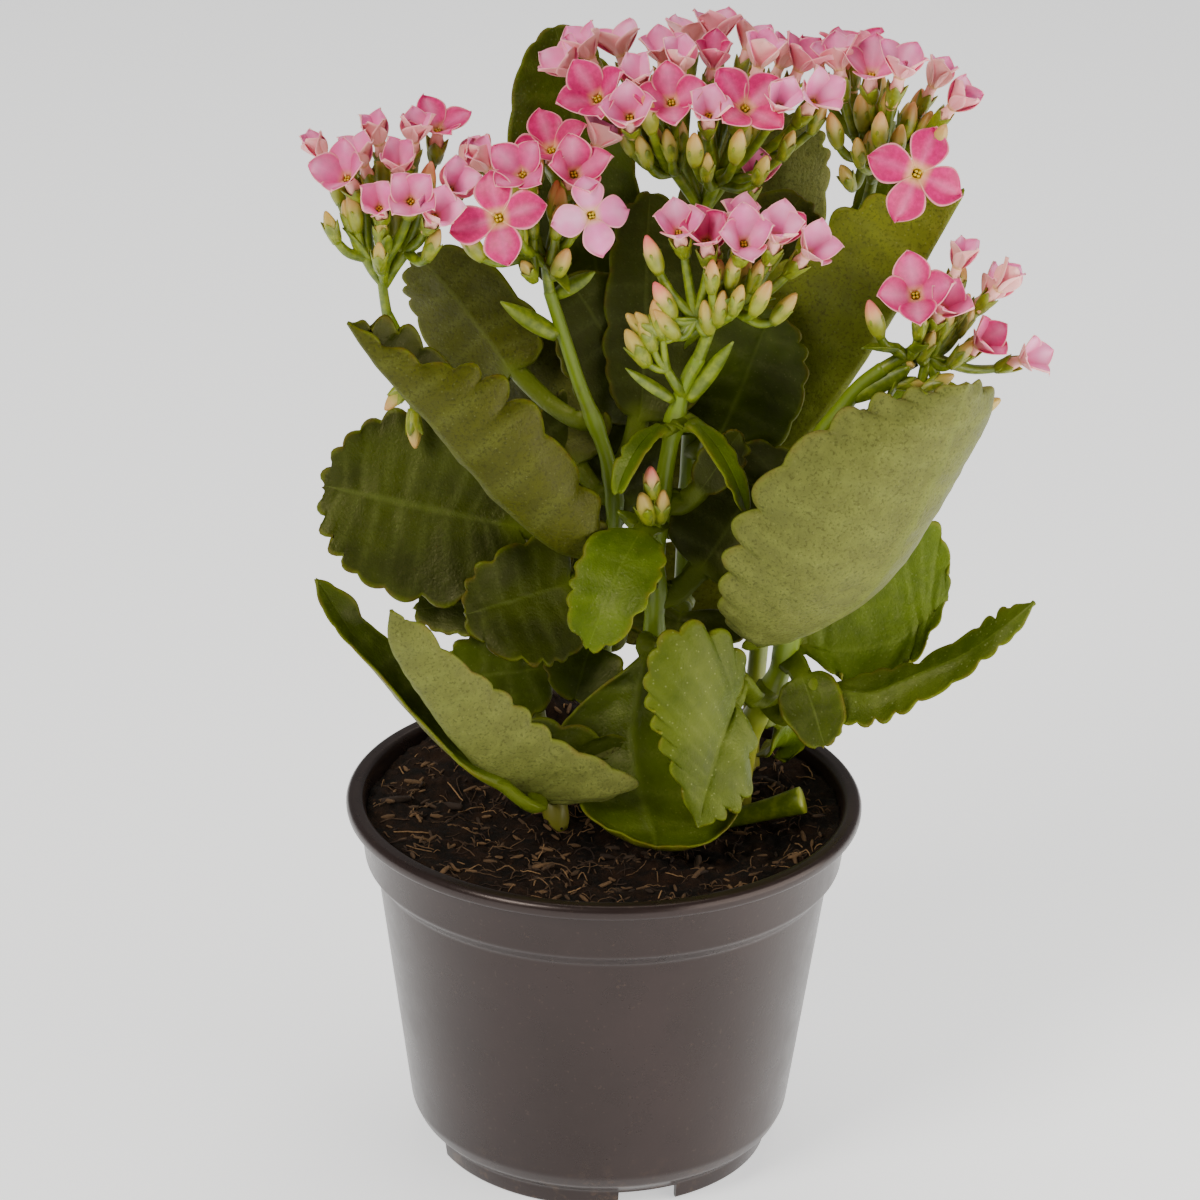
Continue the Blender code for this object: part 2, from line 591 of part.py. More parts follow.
def calyx(work, tip, direction, length, width):
    """A fleshy calyx or bud that ends at tip, pointing along direction."""
    along = Vector(direction).normalized()
    place_at = Matrix.Translation(tip - along * (length / 2)) @ facing(along)
    size = Matrix.Diagonal((width / 2, width / 2, length / 2, 1.0))
    bmesh.ops.create_uvsphere(work, u_segments=5, v_segments=4, radius=1.0, matrix=place_at @ size)


def flower_back(name):
    """Tip of the calyx under a corolla, and the way the flower looks."""
    stalk, throat, look, size, colour = FLOWERS[name]
    along = Vector(look).normalized()
    return place_in_head(stalk, throat) - along * (COROLLA_THICKNESS / 2 + 2.2 * FIT_GAP), along


def make_cyme(name, group, mat):
    """A forked flower stalk with its calyces and closed buds, as one body."""
    stem, hub, factor = CYMES[name]
    path = stem_path(stem)
    up = (path[-1] - path[-2]).normalized()
    foot = path[-1] + up * FIT_GAP
    top = place(hub)
    low = stem_radius(STEMS[stem][0], 1.0) * 0.95
    thin = PEDICEL_DIAMETER / 2
    main = bmesh.new()
    neck = foot + up * 0.0022
    rod(main, foot, neck, low, low, sides=8)
    base = bpy.data.meshes.new(name)
    main.to_mesh(base)
    main.free()
    tips = []
    for flower, spec in FLOWERS.items():
        if spec[0] == name:
            tips.append(flower_back(flower))
    for bud in BUDS[name]:
        tip = place_in_head(name, bud)
        tips.append((tip, (tip - top + Vector((0.0, 0.0, 0.01))).normalized()))
    work = bmesh.new()
    rod(work, neck - up * 0.0012, top, low * 0.96, low * 0.75 * factor, sides=8)
    for tip, along in tips:
        heel = tip - along * (CALYX_LENGTH * 0.8)
        fork = top - up * (0.0005 * len(work.verts) / 40)
        knee = fork.lerp(heel, 0.45) + Vector((0.0, 0.0, -0.0015))
        rod(work, fork - (knee - fork).normalized() * thin, knee, thin * 1.5, thin * 1.2)
        rod(work, knee - (heel - knee).normalized() * thin, heel, thin * 1.2, thin, 6)
        calyx(work, tip, along, CALYX_LENGTH, CALYX_DIAMETER)
    branches = bpy.data.meshes.new(name + "_branches")
    work.to_mesh(branches)
    work.free()
    stalk = bpy.data.objects.new(name, base)
    group.objects.link(stalk)
    tool = bpy.data.objects.new(name + "_branches", branches)
    group.objects.link(tool)
    joined = boolean(stalk, tool, "UNION")
    joined.use_self = True
    mesh = bake(stalk, name, 0.000001)
    bpy.data.objects.remove(stalk, do_unlink=True)
    bpy.data.objects.remove(tool, do_unlink=True)
    return link(name, mesh, group, mat)


def make_corolla(name, group, mat):
    """Four spread petals: a lobed disc with a dished throat."""
    stalk, throat, look, size, colour = FLOWERS[name]
    radius = COROLLA_DIAMETER / 2 * size
    work = bmesh.new()
    centre = work.verts.new((0.0, 0.0, 0.0))
    inner = []
    outer = []
    spokes = 16
    for k in range(spokes):
        turn = k * math.tau / spokes
        lobe = (1.0, 0.90, 0.44, 0.90)[k % 4]
        inner.append(work.verts.new((math.cos(turn) * 0.3 * radius, math.sin(turn) * 0.3 * radius, 0.0)))
        reach = lobe * radius
        lift = 0.35 * radius * lobe ** 2
        outer.append(work.verts.new((math.cos(turn) * reach, math.sin(turn) * reach, lift)))
    for k in range(spokes):
        n = (k + 1) % spokes
        work.faces.new((centre, inner[k], inner[n]))
        work.faces.new((inner[k], outer[k], outer[n], inner[n]))
    spot = Matrix.Translation(place_in_head(stalk, throat))
    bmesh.ops.transform(work, matrix=spot @ facing(look), verts=work.verts)
    mesh = bpy.data.meshes.new(name)
    work.to_mesh(mesh)
    work.free()
    flower = link(name, mesh, group, mat)
    shell = flower.modifiers.new("Solidify", "SOLIDIFY")
    shell.thickness = COROLLA_THICKNESS
    shell.offset = 0.0
    return flower


def make_stub(group, mat):
    """The stub of a cut leaf stalk that leans out of the soil."""
    work = bmesh.new()
    start = place((32, -4, 3.6))
    end = start + Vector((14.0, -2.0, 4.4)).normalized() * STUB_LENGTH
    rod(work, start, end, STUB_DIAMETER * 0.35, STUB_DIAMETER / 2, sides=8)
    squash = Matrix.Diagonal((1.0, 0.8, 1.0, 1.0))
    centre = Matrix.Translation(start)
    bmesh.ops.transform(work, matrix=centre @ squash @ centre.inverted(), verts=work.verts)
    mesh = bpy.data.meshes.new("cut_leaf_stub")
    work.to_mesh(mesh)
    work.free()
    return link("cut_leaf_stub", mesh, group, mat)


def main():
    clear_scene()
    group = make_collection("potted_kalanchoe")
    cutters = make_collection("cutters", hidden=True)
    make_pot(group, cutters)
    make_soil(group, cutters)
    green = material("stem_green", STEM_GREEN, 0.45)
    fresh = material("calyx_green", CALYX_GREEN, 0.45)
    shades = {}
    for colour, name in (
        (LEAF_GREEN, "leaf_green"), (LEAF_PALE, "leaf_underside"), (LEAF_LIGHT, "leaf_light"),
        (PINK_HOT, "petal_hot_pink"), (PINK_MID, "petal_pink"), (PINK_PALE, "petal_pale"),
    ):
        shades[colour] = material(name, colour, 0.45)
    make_stub(group, green)
    for name in STEMS:
        make_stem(name, group, green)
    for name, spec in LEAVES.items():
        make_leaf(name, group, shades[spec[-1]])
    for name in CYMES:
        make_cyme(name, group, fresh)
    for name, spec in FLOWERS.items():
        make_corolla(name, group, shades[spec[-1]])


main()
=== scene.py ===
"""Looks of the potted kalanchoe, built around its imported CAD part.

Metres, +Z up, the row frame of the part. Plant positions are in millimetres:
x to the right, y to the back and z up from the soil level at the pot's axis.
"""

import math
import random

import bmesh
import bpy
import numpy as np
from mathutils import Matrix, Vector


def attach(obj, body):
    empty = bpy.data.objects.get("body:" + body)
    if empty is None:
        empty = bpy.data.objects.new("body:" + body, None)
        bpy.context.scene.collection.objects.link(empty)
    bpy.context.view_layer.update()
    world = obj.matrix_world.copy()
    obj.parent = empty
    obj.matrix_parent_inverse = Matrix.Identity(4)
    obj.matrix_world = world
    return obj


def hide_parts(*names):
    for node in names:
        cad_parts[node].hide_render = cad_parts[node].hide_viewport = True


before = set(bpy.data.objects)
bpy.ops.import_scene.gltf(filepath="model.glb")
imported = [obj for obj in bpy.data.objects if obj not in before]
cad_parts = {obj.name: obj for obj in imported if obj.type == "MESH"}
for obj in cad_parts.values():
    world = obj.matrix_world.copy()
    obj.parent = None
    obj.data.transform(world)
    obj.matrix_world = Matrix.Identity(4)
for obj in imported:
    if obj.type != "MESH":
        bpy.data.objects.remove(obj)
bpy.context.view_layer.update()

MM = 0.001
SOIL_LEVEL = 0.081
STEM_RADIUS = 2.7
STEM_TAPER = 0.62
PETIOLE_HALF = 2.2
PETIOLE_THICK = 3.0

# ------------------------------------------------------------------ the plant
# Shoots: radius factor, centreline.
STEMS = {
    "stem_centre": (1.00, [(10, 0, 0), (11, 0, 26), (11, -1, 71), (15, -5, 104), (19, -8, 116)]),
    "stem_right": (1.05, [(31, 8, 0), (34, 4, 22), (41, 0, 43), (43, 0, 85), (53, -2, 105), (60, -4, 113)]),
    "stem_mid_left": (0.85, [(-2, 13, 0), (-1, 12, 40), (1, 8, 78), (-8, 4, 108), (-14, 1, 128)]),
    "stem_left": (0.80, [(-11, -1, 0), (-16, 10, 22), (-22, 20, 55), (-30, 20, 84), (-45, 8, 110),
        (-50, 1, 122)]),
    "stem_back": (0.90, [(17, 28, 0), (18, 29, 60), (19, 28, 110), (20, 23, 133)]),
    "stem_back_right": (0.90, [(34, 26, 0), (38, 34, 50), (44, 37, 90), (52, 35, 120), (57, 27, 141)]),
}

# Leaves: stem, height on it, tip, way the upper face looks, half widths on the
# two sides of the midrib, fold, arch, petiole, sweep of the basal lobes,
# widest place as a share of the length, surface.
LEAVES = {
    "leaf_right_large": ("stem_right", 49, (82, -26, 115), (-0.60, 0.60, 0.50), (18, 34), 38, -6, 7, 4,
        0.30, "bloom"),
    "leaf_left_large": ("stem_centre", 59, (-58, -25, 128), (0.50, 0.52, 0.69), (27, 14), 58, -5, 14, 1,
        0.50, "olive"),
    "leaf_left_round": ("stem_mid_left", 66, (-65, 9, 78), (-0.05, -0.90, 0.35), (21, 22), 4, 3, 18, 8,
        0.45, "dark"),
    "leaf_left_under": ("stem_mid_left", 50, (-44, 8, 48), (0.00, -0.75, 0.65), (8, 9), 6, 2, 14, 4, 0.30,
        "dark"),
    "leaf_centre_left": ("stem_mid_left", 57, (-32, -13, 56), (-0.10, -0.90, 0.35), (16, 12), 6, 2, 9, 5,
        0.30, "dark"),
    "leaf_lower_left": ("stem_mid_left", 34, (-38, 3, 33), (0.00, -0.95, 0.30), (11, 11), 6, 3, 10, 4,
        0.30, "mid"),
    "leaf_lower_mid": ("stem_mid_left", 41, (-7, 0, 30), (-0.20, -0.90, 0.30), (9, 9), 8, 2, 3, 2, 0.30,
        "mid"),
    "leaf_front_left_low": ("stem_left", 4, (-48, -42, 66), (0.50, 0.50, 0.70), (22, 8), 58, -5, 13, 9,
        0.35, "bloom"),
    "leaf_front_left_far": ("stem_left", 15, (-66, -20, 66), (0.45, 0.40, 0.80), (12, 9), 60, -9, 14, 4,
        0.40, "mid"),
    "leaf_centre_small": ("stem_centre", 75, (-4, -28, 55), (-0.20, -0.85, 0.50), (9, 9), 8, 6, 6, 1, 0.40,
        "fresh"),
    "leaf_front_centre": ("stem_right", 33, (22, -31, 9), (-0.25, -0.90, 0.35), (10, 17), 14, 4, 11, 7,
        0.26, "mottled"),
    "leaf_centre_dark": ("stem_centre", 46, (7, -17, 5), (0.00, -0.80, 0.55), (6, 15), 8, 0, 7, 2, 0.42,
        "mid"),
    "leaf_right_low": ("stem_right", 30, (99, -12, 54), (0.10, -0.75, 0.65), (4, 14), -10, -4, 15, 3, 0.30,
        "mottled"),
    "leaf_right_bright": ("stem_right", 46, (79, 18, 53), (0.00, -0.85, 0.50), (22, 14), 10, -2, 12, 2,
        0.40, "fresh"),
    "leaf_right_pointed": ("stem_right", 42, (50, -15, 26), (0.00, -0.95, 0.30), (7, 7), 6, 2, 4, 2, 0.35,
        "mid"),
    "leaf_right_inner": ("stem_right", 24, (42, 21, 9), (0.10, -0.80, 0.60), (8, 8), 6, 2, 5, 1, 0.40,
        "fresh"),
    "leaf_right_upper": ("stem_back", 68, (77, 11, 149), (-0.50, 0.70, 0.50), (8, 29), 48, -5, 18, 3, 0.30,
        "fresh"),
    "leaf_back_right": ("stem_back_right", 106, (66, 50, 146), (0.00, -0.90, 0.40), (7, 12), 6, -2, 12, 1,
        0.35, "mid"),
    "leaf_back_grey": ("stem_back", 104, (42, 43, 157), (0.10, 0.90, 0.30), (13, 20), 8, 4, 14, 3, 0.45,
        "bloom"),
    "leaf_back_grey_small": ("stem_back", 114, (42, 24, 144), (0.10, 0.90, 0.30), (9, 9), 6, 2, 12, 2,
        0.45, "olive"),
    "leaf_top_left": ("stem_back", 92, (-14, 32, 180), (0.00, -0.90, 0.35), (16, 12), 6, 4, 34, 2, 0.40,
        "mid"),
    "leaf_centre_upper": ("stem_mid_left", 82, (8, 21, 145), (0.00, -0.90, 0.35), (9, 16), 8, 2, 15, 1,
        0.40, "dark"),
    "leaf_left_upper": ("stem_mid_left", 96, (-44, 14, 132), (0.00, 0.90, 0.40), (12, 14), 8, 2, 20, 4,
        0.30, "olive"),
    "leaf_left_inner": ("stem_mid_left", 76, (-26, 24, 110), (0.10, 0.90, 0.40), (13, 13), 8, 2, 10, 3,
        0.30, "olive"),
    "leaf_centre_toothed": ("stem_centre", 56, (33, 10, 79), (0.00, -0.90, 0.40), (13, 13), 8, 2, 9, 1,
        0.40, "dark"),
    "leaf_centre_inner": ("stem_centre", 80, (29, -2, 97), (0.10, -0.95, 0.30), (5, 5), 8, 1, 6, 0, 0.50,
        "dark"),
    "leaf_strap_right": ("stem_centre", 101, (30, -17, 84), (0.60, -0.70, 0.50), (3, 3), 20, 3, 1, 0, 0.50,
        "fresh"),
    "leaf_strap_left": ("stem_centre", 99, (2, -18, 88), (-0.60, -0.70, 0.50), (3, 3), 20, 3, 1, 0, 0.50,
        "fresh"),
}

# Flower stalks: the shoot each crowns and the hub of its fork.
CYMES = {
    "flower_stalk_left": ("stem_left", (-51, -2, 131)),
    "flower_stalk_mid_left": ("stem_mid_left", (-15, 0, 136)),
    "flower_stalk_back": ("stem_back", (20, 18, 143)),
    "flower_stalk_back_right": ("stem_back_right", (58, 22, 150)),
    "flower_stalk_centre": ("stem_centre", (22, -8, 125)),
    "flower_stalk_right": ("stem_right", (66, -4, 117)),
}

# Open flowers: stalk, throat, way it looks, size, openness (0 closed, 1 flat)
# and depth of colour (0 pale, 1 hot pink). The first 17 stand for CAD nodes.
FLOWERS = {
    "flower_left_outer": ("flower_stalk_left", (-58, -8, 156), (-0.4, -0.5, 0.8), 0.95, 0.70, 0.55),
    "flower_left_front": ("flower_stalk_left", (-44, -14, 153), (0.1, -0.7, 0.7), 0.90, 0.60, 0.45),
    "flower_left_top": ("flower_stalk_left", (-39, 6, 163), (0.1, -0.2, 1.0), 0.90, 0.80, 0.85),
    "flower_mid_low": ("flower_stalk_mid_left", (-25, -12, 149), (-0.3, -0.8, 0.5), 1.10, 0.95, 1.00),
    "flower_mid_top": ("flower_stalk_mid_left", (-14, 6, 159), (-0.1, -0.4, 0.9), 1.00, 0.90, 0.95),
    "flower_mid_pale": ("flower_stalk_mid_left", (-5, -12, 150), (0.2, -0.9, 0.4), 0.90, 1.00, 0.25),
    "flower_back_left": ("flower_stalk_back", (-4, 2, 172), (-0.4, -0.6, 0.7), 1.05, 0.80, 0.95),
    "flower_back_front": ("flower_stalk_back", (12, 0, 172), (-0.1, -0.6, 0.8), 0.95, 0.75, 0.80),
    "flower_back_mid": ("flower_stalk_back", (28, 0, 171), (0.2, -0.6, 0.8), 1.05, 0.90, 0.95),
    "flower_back_right": ("flower_stalk_back", (43, 6, 171), (0.4, -0.4, 0.8), 0.90, 0.60, 0.20),
    "flower_hot_open": ("flower_stalk_back_right", (66, 0, 157), (0.2, -0.9, 0.3), 1.12, 1.00, 1.00),
    "flower_back_right_top": ("flower_stalk_back_right", (56, 14, 175), (0.0, -0.3, 1.0), 0.95, 0.80, 0.60),
    "flower_centre_left": ("flower_stalk_centre", (14, -14, 147), (-0.2, -0.5, 0.9), 0.90, 0.55, 0.30),
    "flower_centre_mid": ("flower_stalk_centre", (28, -18, 146), (0.1, -0.6, 0.8), 0.95, 0.60, 0.40),
    "flower_centre_right": ("flower_stalk_centre", (42, -12, 142), (0.5, -0.4, 0.8), 0.90, 0.50, 0.25),
    "flower_right_open": ("flower_stalk_right", (66, -12, 133), (-0.1, -0.8, 0.6), 1.05, 0.80, 0.80),
    "flower_right_far": ("flower_stalk_right", (91, -2, 115), (0.7, -0.4, 0.5), 0.80, 0.50, 0.30),
}

# More flowers of each head: throat, way it looks, size, openness, colour.
MORE_FLOWERS = {
    "flower_stalk_left": [
        ((-36, -2, 152), (0.4, -0.6, 0.7), 0.85, 0.50, 0.20),
        ((-52, 6, 160), (-0.2, -0.2, 1.0), 0.75, 0.15, 0.20),
        ((-44, 2, 162), (0.1, -0.3, 1.0), 0.80, 0.25, 0.25),
        ((-64, 2, 158), (-0.5, -0.2, 0.9), 0.70, 0.10, 0.20),
        ((-51, -10, 150), (-0.1, -0.7, 0.7), 0.80, 0.40, 0.25),
        ((-55, 0, 157), (-0.3, -0.3, 1.0), 0.80, 0.30, 0.05),
        ((-39, -12, 149), (0.3, -0.7, 0.7), 0.85, 0.45, 0.10),
        ((-47, -4, 157), (0.0, -0.5, 1.0), 0.80, 0.35, 0.45),
        ((-33, 4, 156), (0.5, -0.2, 0.9), 0.75, 0.20, 0.10),
    ],
    "flower_stalk_mid_left": [
        ((-20, -6, 157), (-0.3, -0.6, 0.8), 0.85, 0.75, 0.70),
        ((-4, 8, 160), (0.4, -0.1, 1.0), 0.95, 0.55, 0.15),
        ((-9, -2, 156), (0.2, -0.6, 0.8), 0.95, 0.60, 0.75),
        ((-28, 2, 156), (-0.5, -0.3, 0.9), 0.75, 0.25, 0.10),
    ],
    "flower_stalk_back": [
        ((1, 20, 177), (-0.3, 0.1, 1.0), 0.85, 0.60, 0.20),
        ((16, 26, 178), (0.0, 0.3, 1.0), 0.85, 0.70, 0.35),
        ((-10, 12, 175), (-0.6, -0.2, 0.8), 0.85, 0.60, 0.25),
        ((29, 26, 177), (0.3, 0.3, 1.0), 0.80, 0.60, 0.20),
        ((36, 20, 175), (0.4, 0.0, 1.0), 0.75, 0.35, 0.10),
        ((10, 13, 178), (-0.1, -0.3, 1.0), 0.80, 0.50, 0.30),
        ((21, 12, 177), (0.1, -0.3, 1.0), 0.80, 0.40, 0.80),
        ((5, 4, 175), (-0.2, -0.5, 0.9), 0.80, 0.35, 0.15),
        ((3, -2, 169), (-0.1, -0.7, 0.7), 0.95, 0.50, 0.35),
        ((20, -3, 170), (0.0, -0.6, 0.8), 0.85, 0.40, 0.25),
        ((35, -2, 172), (0.2, -0.6, 0.8), 0.85, 0.35, 0.10),
        ((-6, 14, 178), (-0.4, 0.0, 1.0), 0.85, 0.45, 0.15),
        ((22, 22, 180), (0.0, 0.2, 1.0), 0.85, 0.50, 0.55),
        ((31, 10, 178), (0.2, -0.2, 1.0), 0.85, 0.30, 0.05),
        ((40, 14, 176), (0.4, -0.1, 1.0), 0.85, 0.55, 0.60),
        ((14, 6, 178), (0.0, -0.3, 1.0), 0.80, 0.25, 0.05),
    ],
    "flower_stalk_back_right": [
        ((52, 24, 177), (-0.1, 0.2, 1.0), 0.85, 0.70, 0.80),
        ((45, 24, 174), (-0.3, 0.2, 1.0), 0.80, 0.60, 0.90),
        ((74, 14, 168), (0.6, -0.2, 0.8), 0.80, 0.50, 0.40),
        ((62, 10, 176), (0.2, -0.2, 1.0), 0.85, 0.45, 0.35),
        ((49, 16, 176), (-0.2, -0.1, 1.0), 0.85, 0.35, 0.25),
        ((70, 20, 171), (0.4, 0.1, 0.9), 0.75, 0.25, 0.10),
    ],
    "flower_stalk_centre": [
        ((22, -6, 142), (0.0, -0.4, 1.0), 0.80, 0.40, 0.90),
        ((36, -4, 142), (0.3, -0.2, 1.0), 0.80, 0.40, 0.80),
        ((31, 14, 151), (0.1, -0.5, 0.9), 0.80, 0.40, 0.50),
        ((35, -14, 146), (0.2, -0.5, 0.9), 0.90, 0.45, 0.20),
        ((20, -14, 145), (-0.1, -0.5, 0.9), 0.90, 0.50, 0.75),
        ((28, -6, 146), (0.0, -0.3, 1.0), 0.80, 0.30, 0.15),
    ],
    "flower_stalk_right": [
        ((83, 6, 127), (0.6, 0.0, 0.8), 0.80, 0.40, 0.30),
        ((81, -4, 119), (0.5, -0.5, 0.7), 0.80, 0.40, 0.75),
        ((72, -10, 129), (0.2, -0.6, 0.8), 0.85, 0.35, 0.45),
        ((76, 2, 135), (0.3, 0.0, 1.0), 0.75, 0.25, 0.05),
        ((85, 2, 130), (0.6, 0.0, 0.8), 0.75, 0.20, 0.05),
    ],
}

# Closed buds: tip, ripeness (0 green, 1 peach and pink).
BUDS = {
    "flower_stalk_left": [
        ((-62, 2, 156), 0.7), ((-51, 8, 160), 0.8), ((-32, 8, 158), 0.9), ((-28, 8, 162), 1.0),
        ((-59, 10, 159), 0.8), ((-40, -4, 159), 0.6), ((-59, -4, 150), 0.1), ((-51, -12, 143), 0.0),
        ((-63, -6, 148), 0.0), ((-38, -8, 145), 0.1), ((-45, 14, 158), 0.5),
    ],
    "flower_stalk_mid_left": [
        ((-10, -6, 140), 0.1), ((-22, 3, 158), 0.7), ((-18, 6, 161), 0.9), ((-10, -8, 141), 0.2),
        ((-34, -6, 145), 0.8), ((-20, -8, 138), 0.0), ((-6, 4, 152), 0.1),
    ],
    "flower_stalk_back": [
        ((2, 14, 172), 0.5), ((36, 20, 172), 0.4), ((6, -4, 175), 0.6), ((17, -6, 167), 0.1),
        ((27, -6, 168), 0.1), ((39, 4, 165), 0.0), ((46, 10, 170), 0.2), ((11, 0, 166), 0.0),
        ((20, -4, 162), 0.0), ((33, -2, 161), 0.0), ((5, 2, 164), 0.0), ((24, 30, 172), 0.3),
        ((8, 30, 170), 0.2),
    ],
    "flower_stalk_back_right": [
        ((66, 18, 168), 0.3), ((47, 8, 168), 0.2), ((58, 6, 169), 0.3), ((63, 10, 165), 0.1),
        ((53, 6, 163), 0.0), ((70, 18, 166), 0.2), ((50, 12, 155), 0.0), ((68, 22, 170), 0.4),
        ((72, 4, 167), 0.2), ((59, 30, 172), 0.3), ((66, 32, 164), 0.1),
    ],
    "flower_stalk_centre": [
        ((7, -10, 145), 1.0), ((5, -12, 128), 0.0), ((9, -12, 135), 1.0), ((9, -13, 129), 0.1),
        ((3, -10, 127), 0.0), ((24, -14, 134), 0.1), ((28, -16, 136), 0.0), ((34, -16, 137), 0.2),
        ((40, -12, 133), 0.1), ((20, -12, 131), 0.0), ((17, -4, 131), 0.1), ((30, 2, 136), 0.2),
    ],
    "flower_stalk_right": [
        ((56, -10, 131), 0.9), ((78, 6, 134), 0.3), ((80, -4, 120), 0.1), ((73, -2, 132), 0.3),
        ((79, 2, 129), 0.2), ((71, -6, 123), 0.0), ((66, -6, 115), 0.0), ((70, -4, 110), 0.0),
        ((76, -4, 112), 0.0), ((84, -2, 108), 0.1), ((87, 0, 105), 0.0), ((69, 10, 134), 0.3),
    ],
}


# -------------------------------------------------------------------- vectors
def vec(*parts):
    return np.array(parts, float)


def at(point):
    """A plant position in metres."""
    return vec(point[0] * MM, point[1] * MM, SOIL_LEVEL + point[2] * MM)


def unit(v):
    return v / np.linalg.norm(v, axis=-1, keepdims=True)


def ramp(x, low, high):
    """A smooth step of x between low and high."""
    t = np.clip((x - low) / (high - low), 0.0, 1.0)
    return t * t * (3.0 - 2.0 * t)


def spline(points, steps):
    """A smooth curve through points, steps samples to each span."""
    points = [np.asarray(p, float) for p in points]
    last = len(points) - 1
    found = []
    for i in range(last):
        a, b = points[max(i - 1, 0)], points[i]
        c, d = points[i + 1], points[min(i + 2, last)]
        for k in range(steps):
            t = k / steps
            found.append(
                (2 * b + t * (c - a) + t * t * (2 * a - 5 * b + 4 * c - d)
                 + t ** 3 * (3 * b - a - 3 * c + d)) / 2
            )
    found.append(points[-1])
    return np.array(found)


def frames(path):
    """Tangents and two cross directions along a path, with little twist."""
    tangent = unit(np.gradient(path, axis=0))
    first = vec(1, 0, 0) if abs(tangent[0][0]) < 0.8 else vec(0, 1, 0)
    one = unit(first - tangent[0] * first.dot(tangent[0]))
    ones = []
    for t in tangent:
        one = unit(one - t * one.dot(t))
        ones.append(one)
    ones = np.array(ones)
    return tangent, ones, np.cross(tangent, ones)


def basis(direction):
    """Two unit vectors across a direction."""
    d = unit(np.asarray(direction, float))
    side = vec(0, 0, 1) if abs(d[2]) < 0.9 else vec(0, 1, 0)
    one = unit(np.cross(side, d))
    return d, one, np.cross(d, one)


def lattice_noise(x, y, cell, seed):
    """Smooth value noise on a square lattice of the given cell size, -1 to 1."""
    rng = np.random.default_rng(seed)
    table = rng.uniform(-1, 1, (64, 64))
    u, v = x / cell + 31.7, y / cell + 17.3
    i, j = np.floor(u).astype(int), np.floor(v).astype(int)
    fu, fv = u - i, v - j
    fu, fv = fu * fu * (3 - 2 * fu), fv * fv * (3 - 2 * fv)
    a, b = table[i % 64, j % 64], table[(i + 1) % 64, j % 64]
    c, d = table[i % 64, (j + 1) % 64], table[(i + 1) % 64, (j + 1) % 64]
    return (a * (1 - fu) + b * fu) * (1 - fv) + (c * (1 - fu) + d * fu) * fv


# --------------------------------------------------------------------- meshes
class Shape:
    """Vertices, faces and per-vertex values of a piece being put together."""

    def __init__(self, *fields):
        self.fields = fields
        self.points = []
        self.faces = []
        self.values = {f: [] for f in fields}
        self.count = 0

    def loops(self, rings, closed_ends=True, **values):
        """Rings of points joined into a skin, with fans over its two ends."""
        rings = np.asarray(rings, float)
        rows, cols = rings.shape[:2]
        start = self.count
        self.points.append(rings.reshape(-1, 3))
        self.count += rows * cols
        for i in range(rows - 1):
            a = start + i * cols
            for k in range(cols):
                n = (k + 1) % cols
                self.faces.append((a + k, a + n, a + cols + n, a + cols + k))
        tails = []
        if closed_ends:
            for row, turn in ((0, 1), (rows - 1, -1)):
                self.points.append(rings[row].mean(0)[None])
                a = start + row * cols
                for k in range(cols):
                    n = (k + 1) % cols
                    self.faces.append((a + n, a + k, self.count)[::turn])
                self.count += 1
                tails.append(row)
        for field in self.fields:
            given = np.broadcast_to(np.asarray(values.get(field, 0.0), float), (rows, cols))
            flat = [given.reshape(-1)] + [given[row].mean()[None] for row in tails]
            self.values[field].append(np.concatenate(flat))

    def tube(self, path, radii, sides=10, rounded=True, **values):
        """A round skin along a path, with domed ends."""
        path = np.asarray(path, float)
        radii = np.broadcast_to(np.asarray(radii, float), (len(path),)).copy()
        if rounded:
            t = unit(path[1] - path[0])
            e = unit(path[-1] - path[-2])
            r0, r1 = radii[0], radii[-1]
            head = [path[0] - t * r0 * h for h in (0.6, 0.45)]
            tail = [path[-1] + e * r1 * h for h in (0.45, 0.6)]
            path = np.vstack([head, path, tail])
            radii = np.concatenate([[r0 * 0.45, r0 * 0.8], radii, [r1 * 0.8, r1 * 0.45]])
        one, two = frames(path)[1:]
        turn = np.linspace(0, math.tau, sides, endpoint=False)
        rings = path[:, None] + radii[:, None, None] * (
            np.cos(turn)[None, :, None] * one[:, None] + np.sin(turn)[None, :, None] * two[:, None]
        )
        grown = {}
        for key, value in values.items():
            value = np.asarray(value, float)
            if value.ndim == 1:
                if rounded:
                    value = np.concatenate([[value[0]] * 2, value, [value[-1]] * 2])
                value = value[:, None]
            grown[key] = value
        self.loops(rings, **grown)

    def sheet(self, grid, normal, half, reach, **values):
        """A closed sheet about a grid (rows, columns): its columns run left to right.

        half is half the thickness; reach is how far the rounded edge reaches out.
        """
        top = grid + normal * half[..., None]
        low = grid - normal * half[..., None]
        left = unit(grid[:, 0] - grid[:, 1]) * reach
        right = unit(grid[:, -1] - grid[:, -2]) * reach
        rings = np.concatenate(
            [top, (grid[:, -1] + right)[:, None], low[:, ::-1], (grid[:, 0] + left)[:, None]], axis=1
        )
        spread = {}
        for key, value in values.items():
            value = np.broadcast_to(value, grid.shape[:2])
            spread[key] = np.concatenate(
                [value, value[:, -1:], value[:, ::-1], value[:, :1]], axis=1
            )
        upper = np.zeros(rings.shape[:2])
        cols = grid.shape[1]
        upper[:, :cols] = 1.0
        upper[:, cols] = upper[:, -1] = 0.5
        spread["upper"] = upper
        self.loops(rings, **{k: v for k, v in spread.items() if k in self.fields})

    def mesh(self, name):
        mesh = bpy.data.meshes.new(name)
        mesh.from_pydata(np.concatenate(self.points), [], self.faces)
        for field in self.fields:
            layer = mesh.attributes.new(field, "FLOAT", "POINT")
            layer.data.foreach_set("value", np.concatenate(self.values[field]).astype(np.float32))
        return mesh


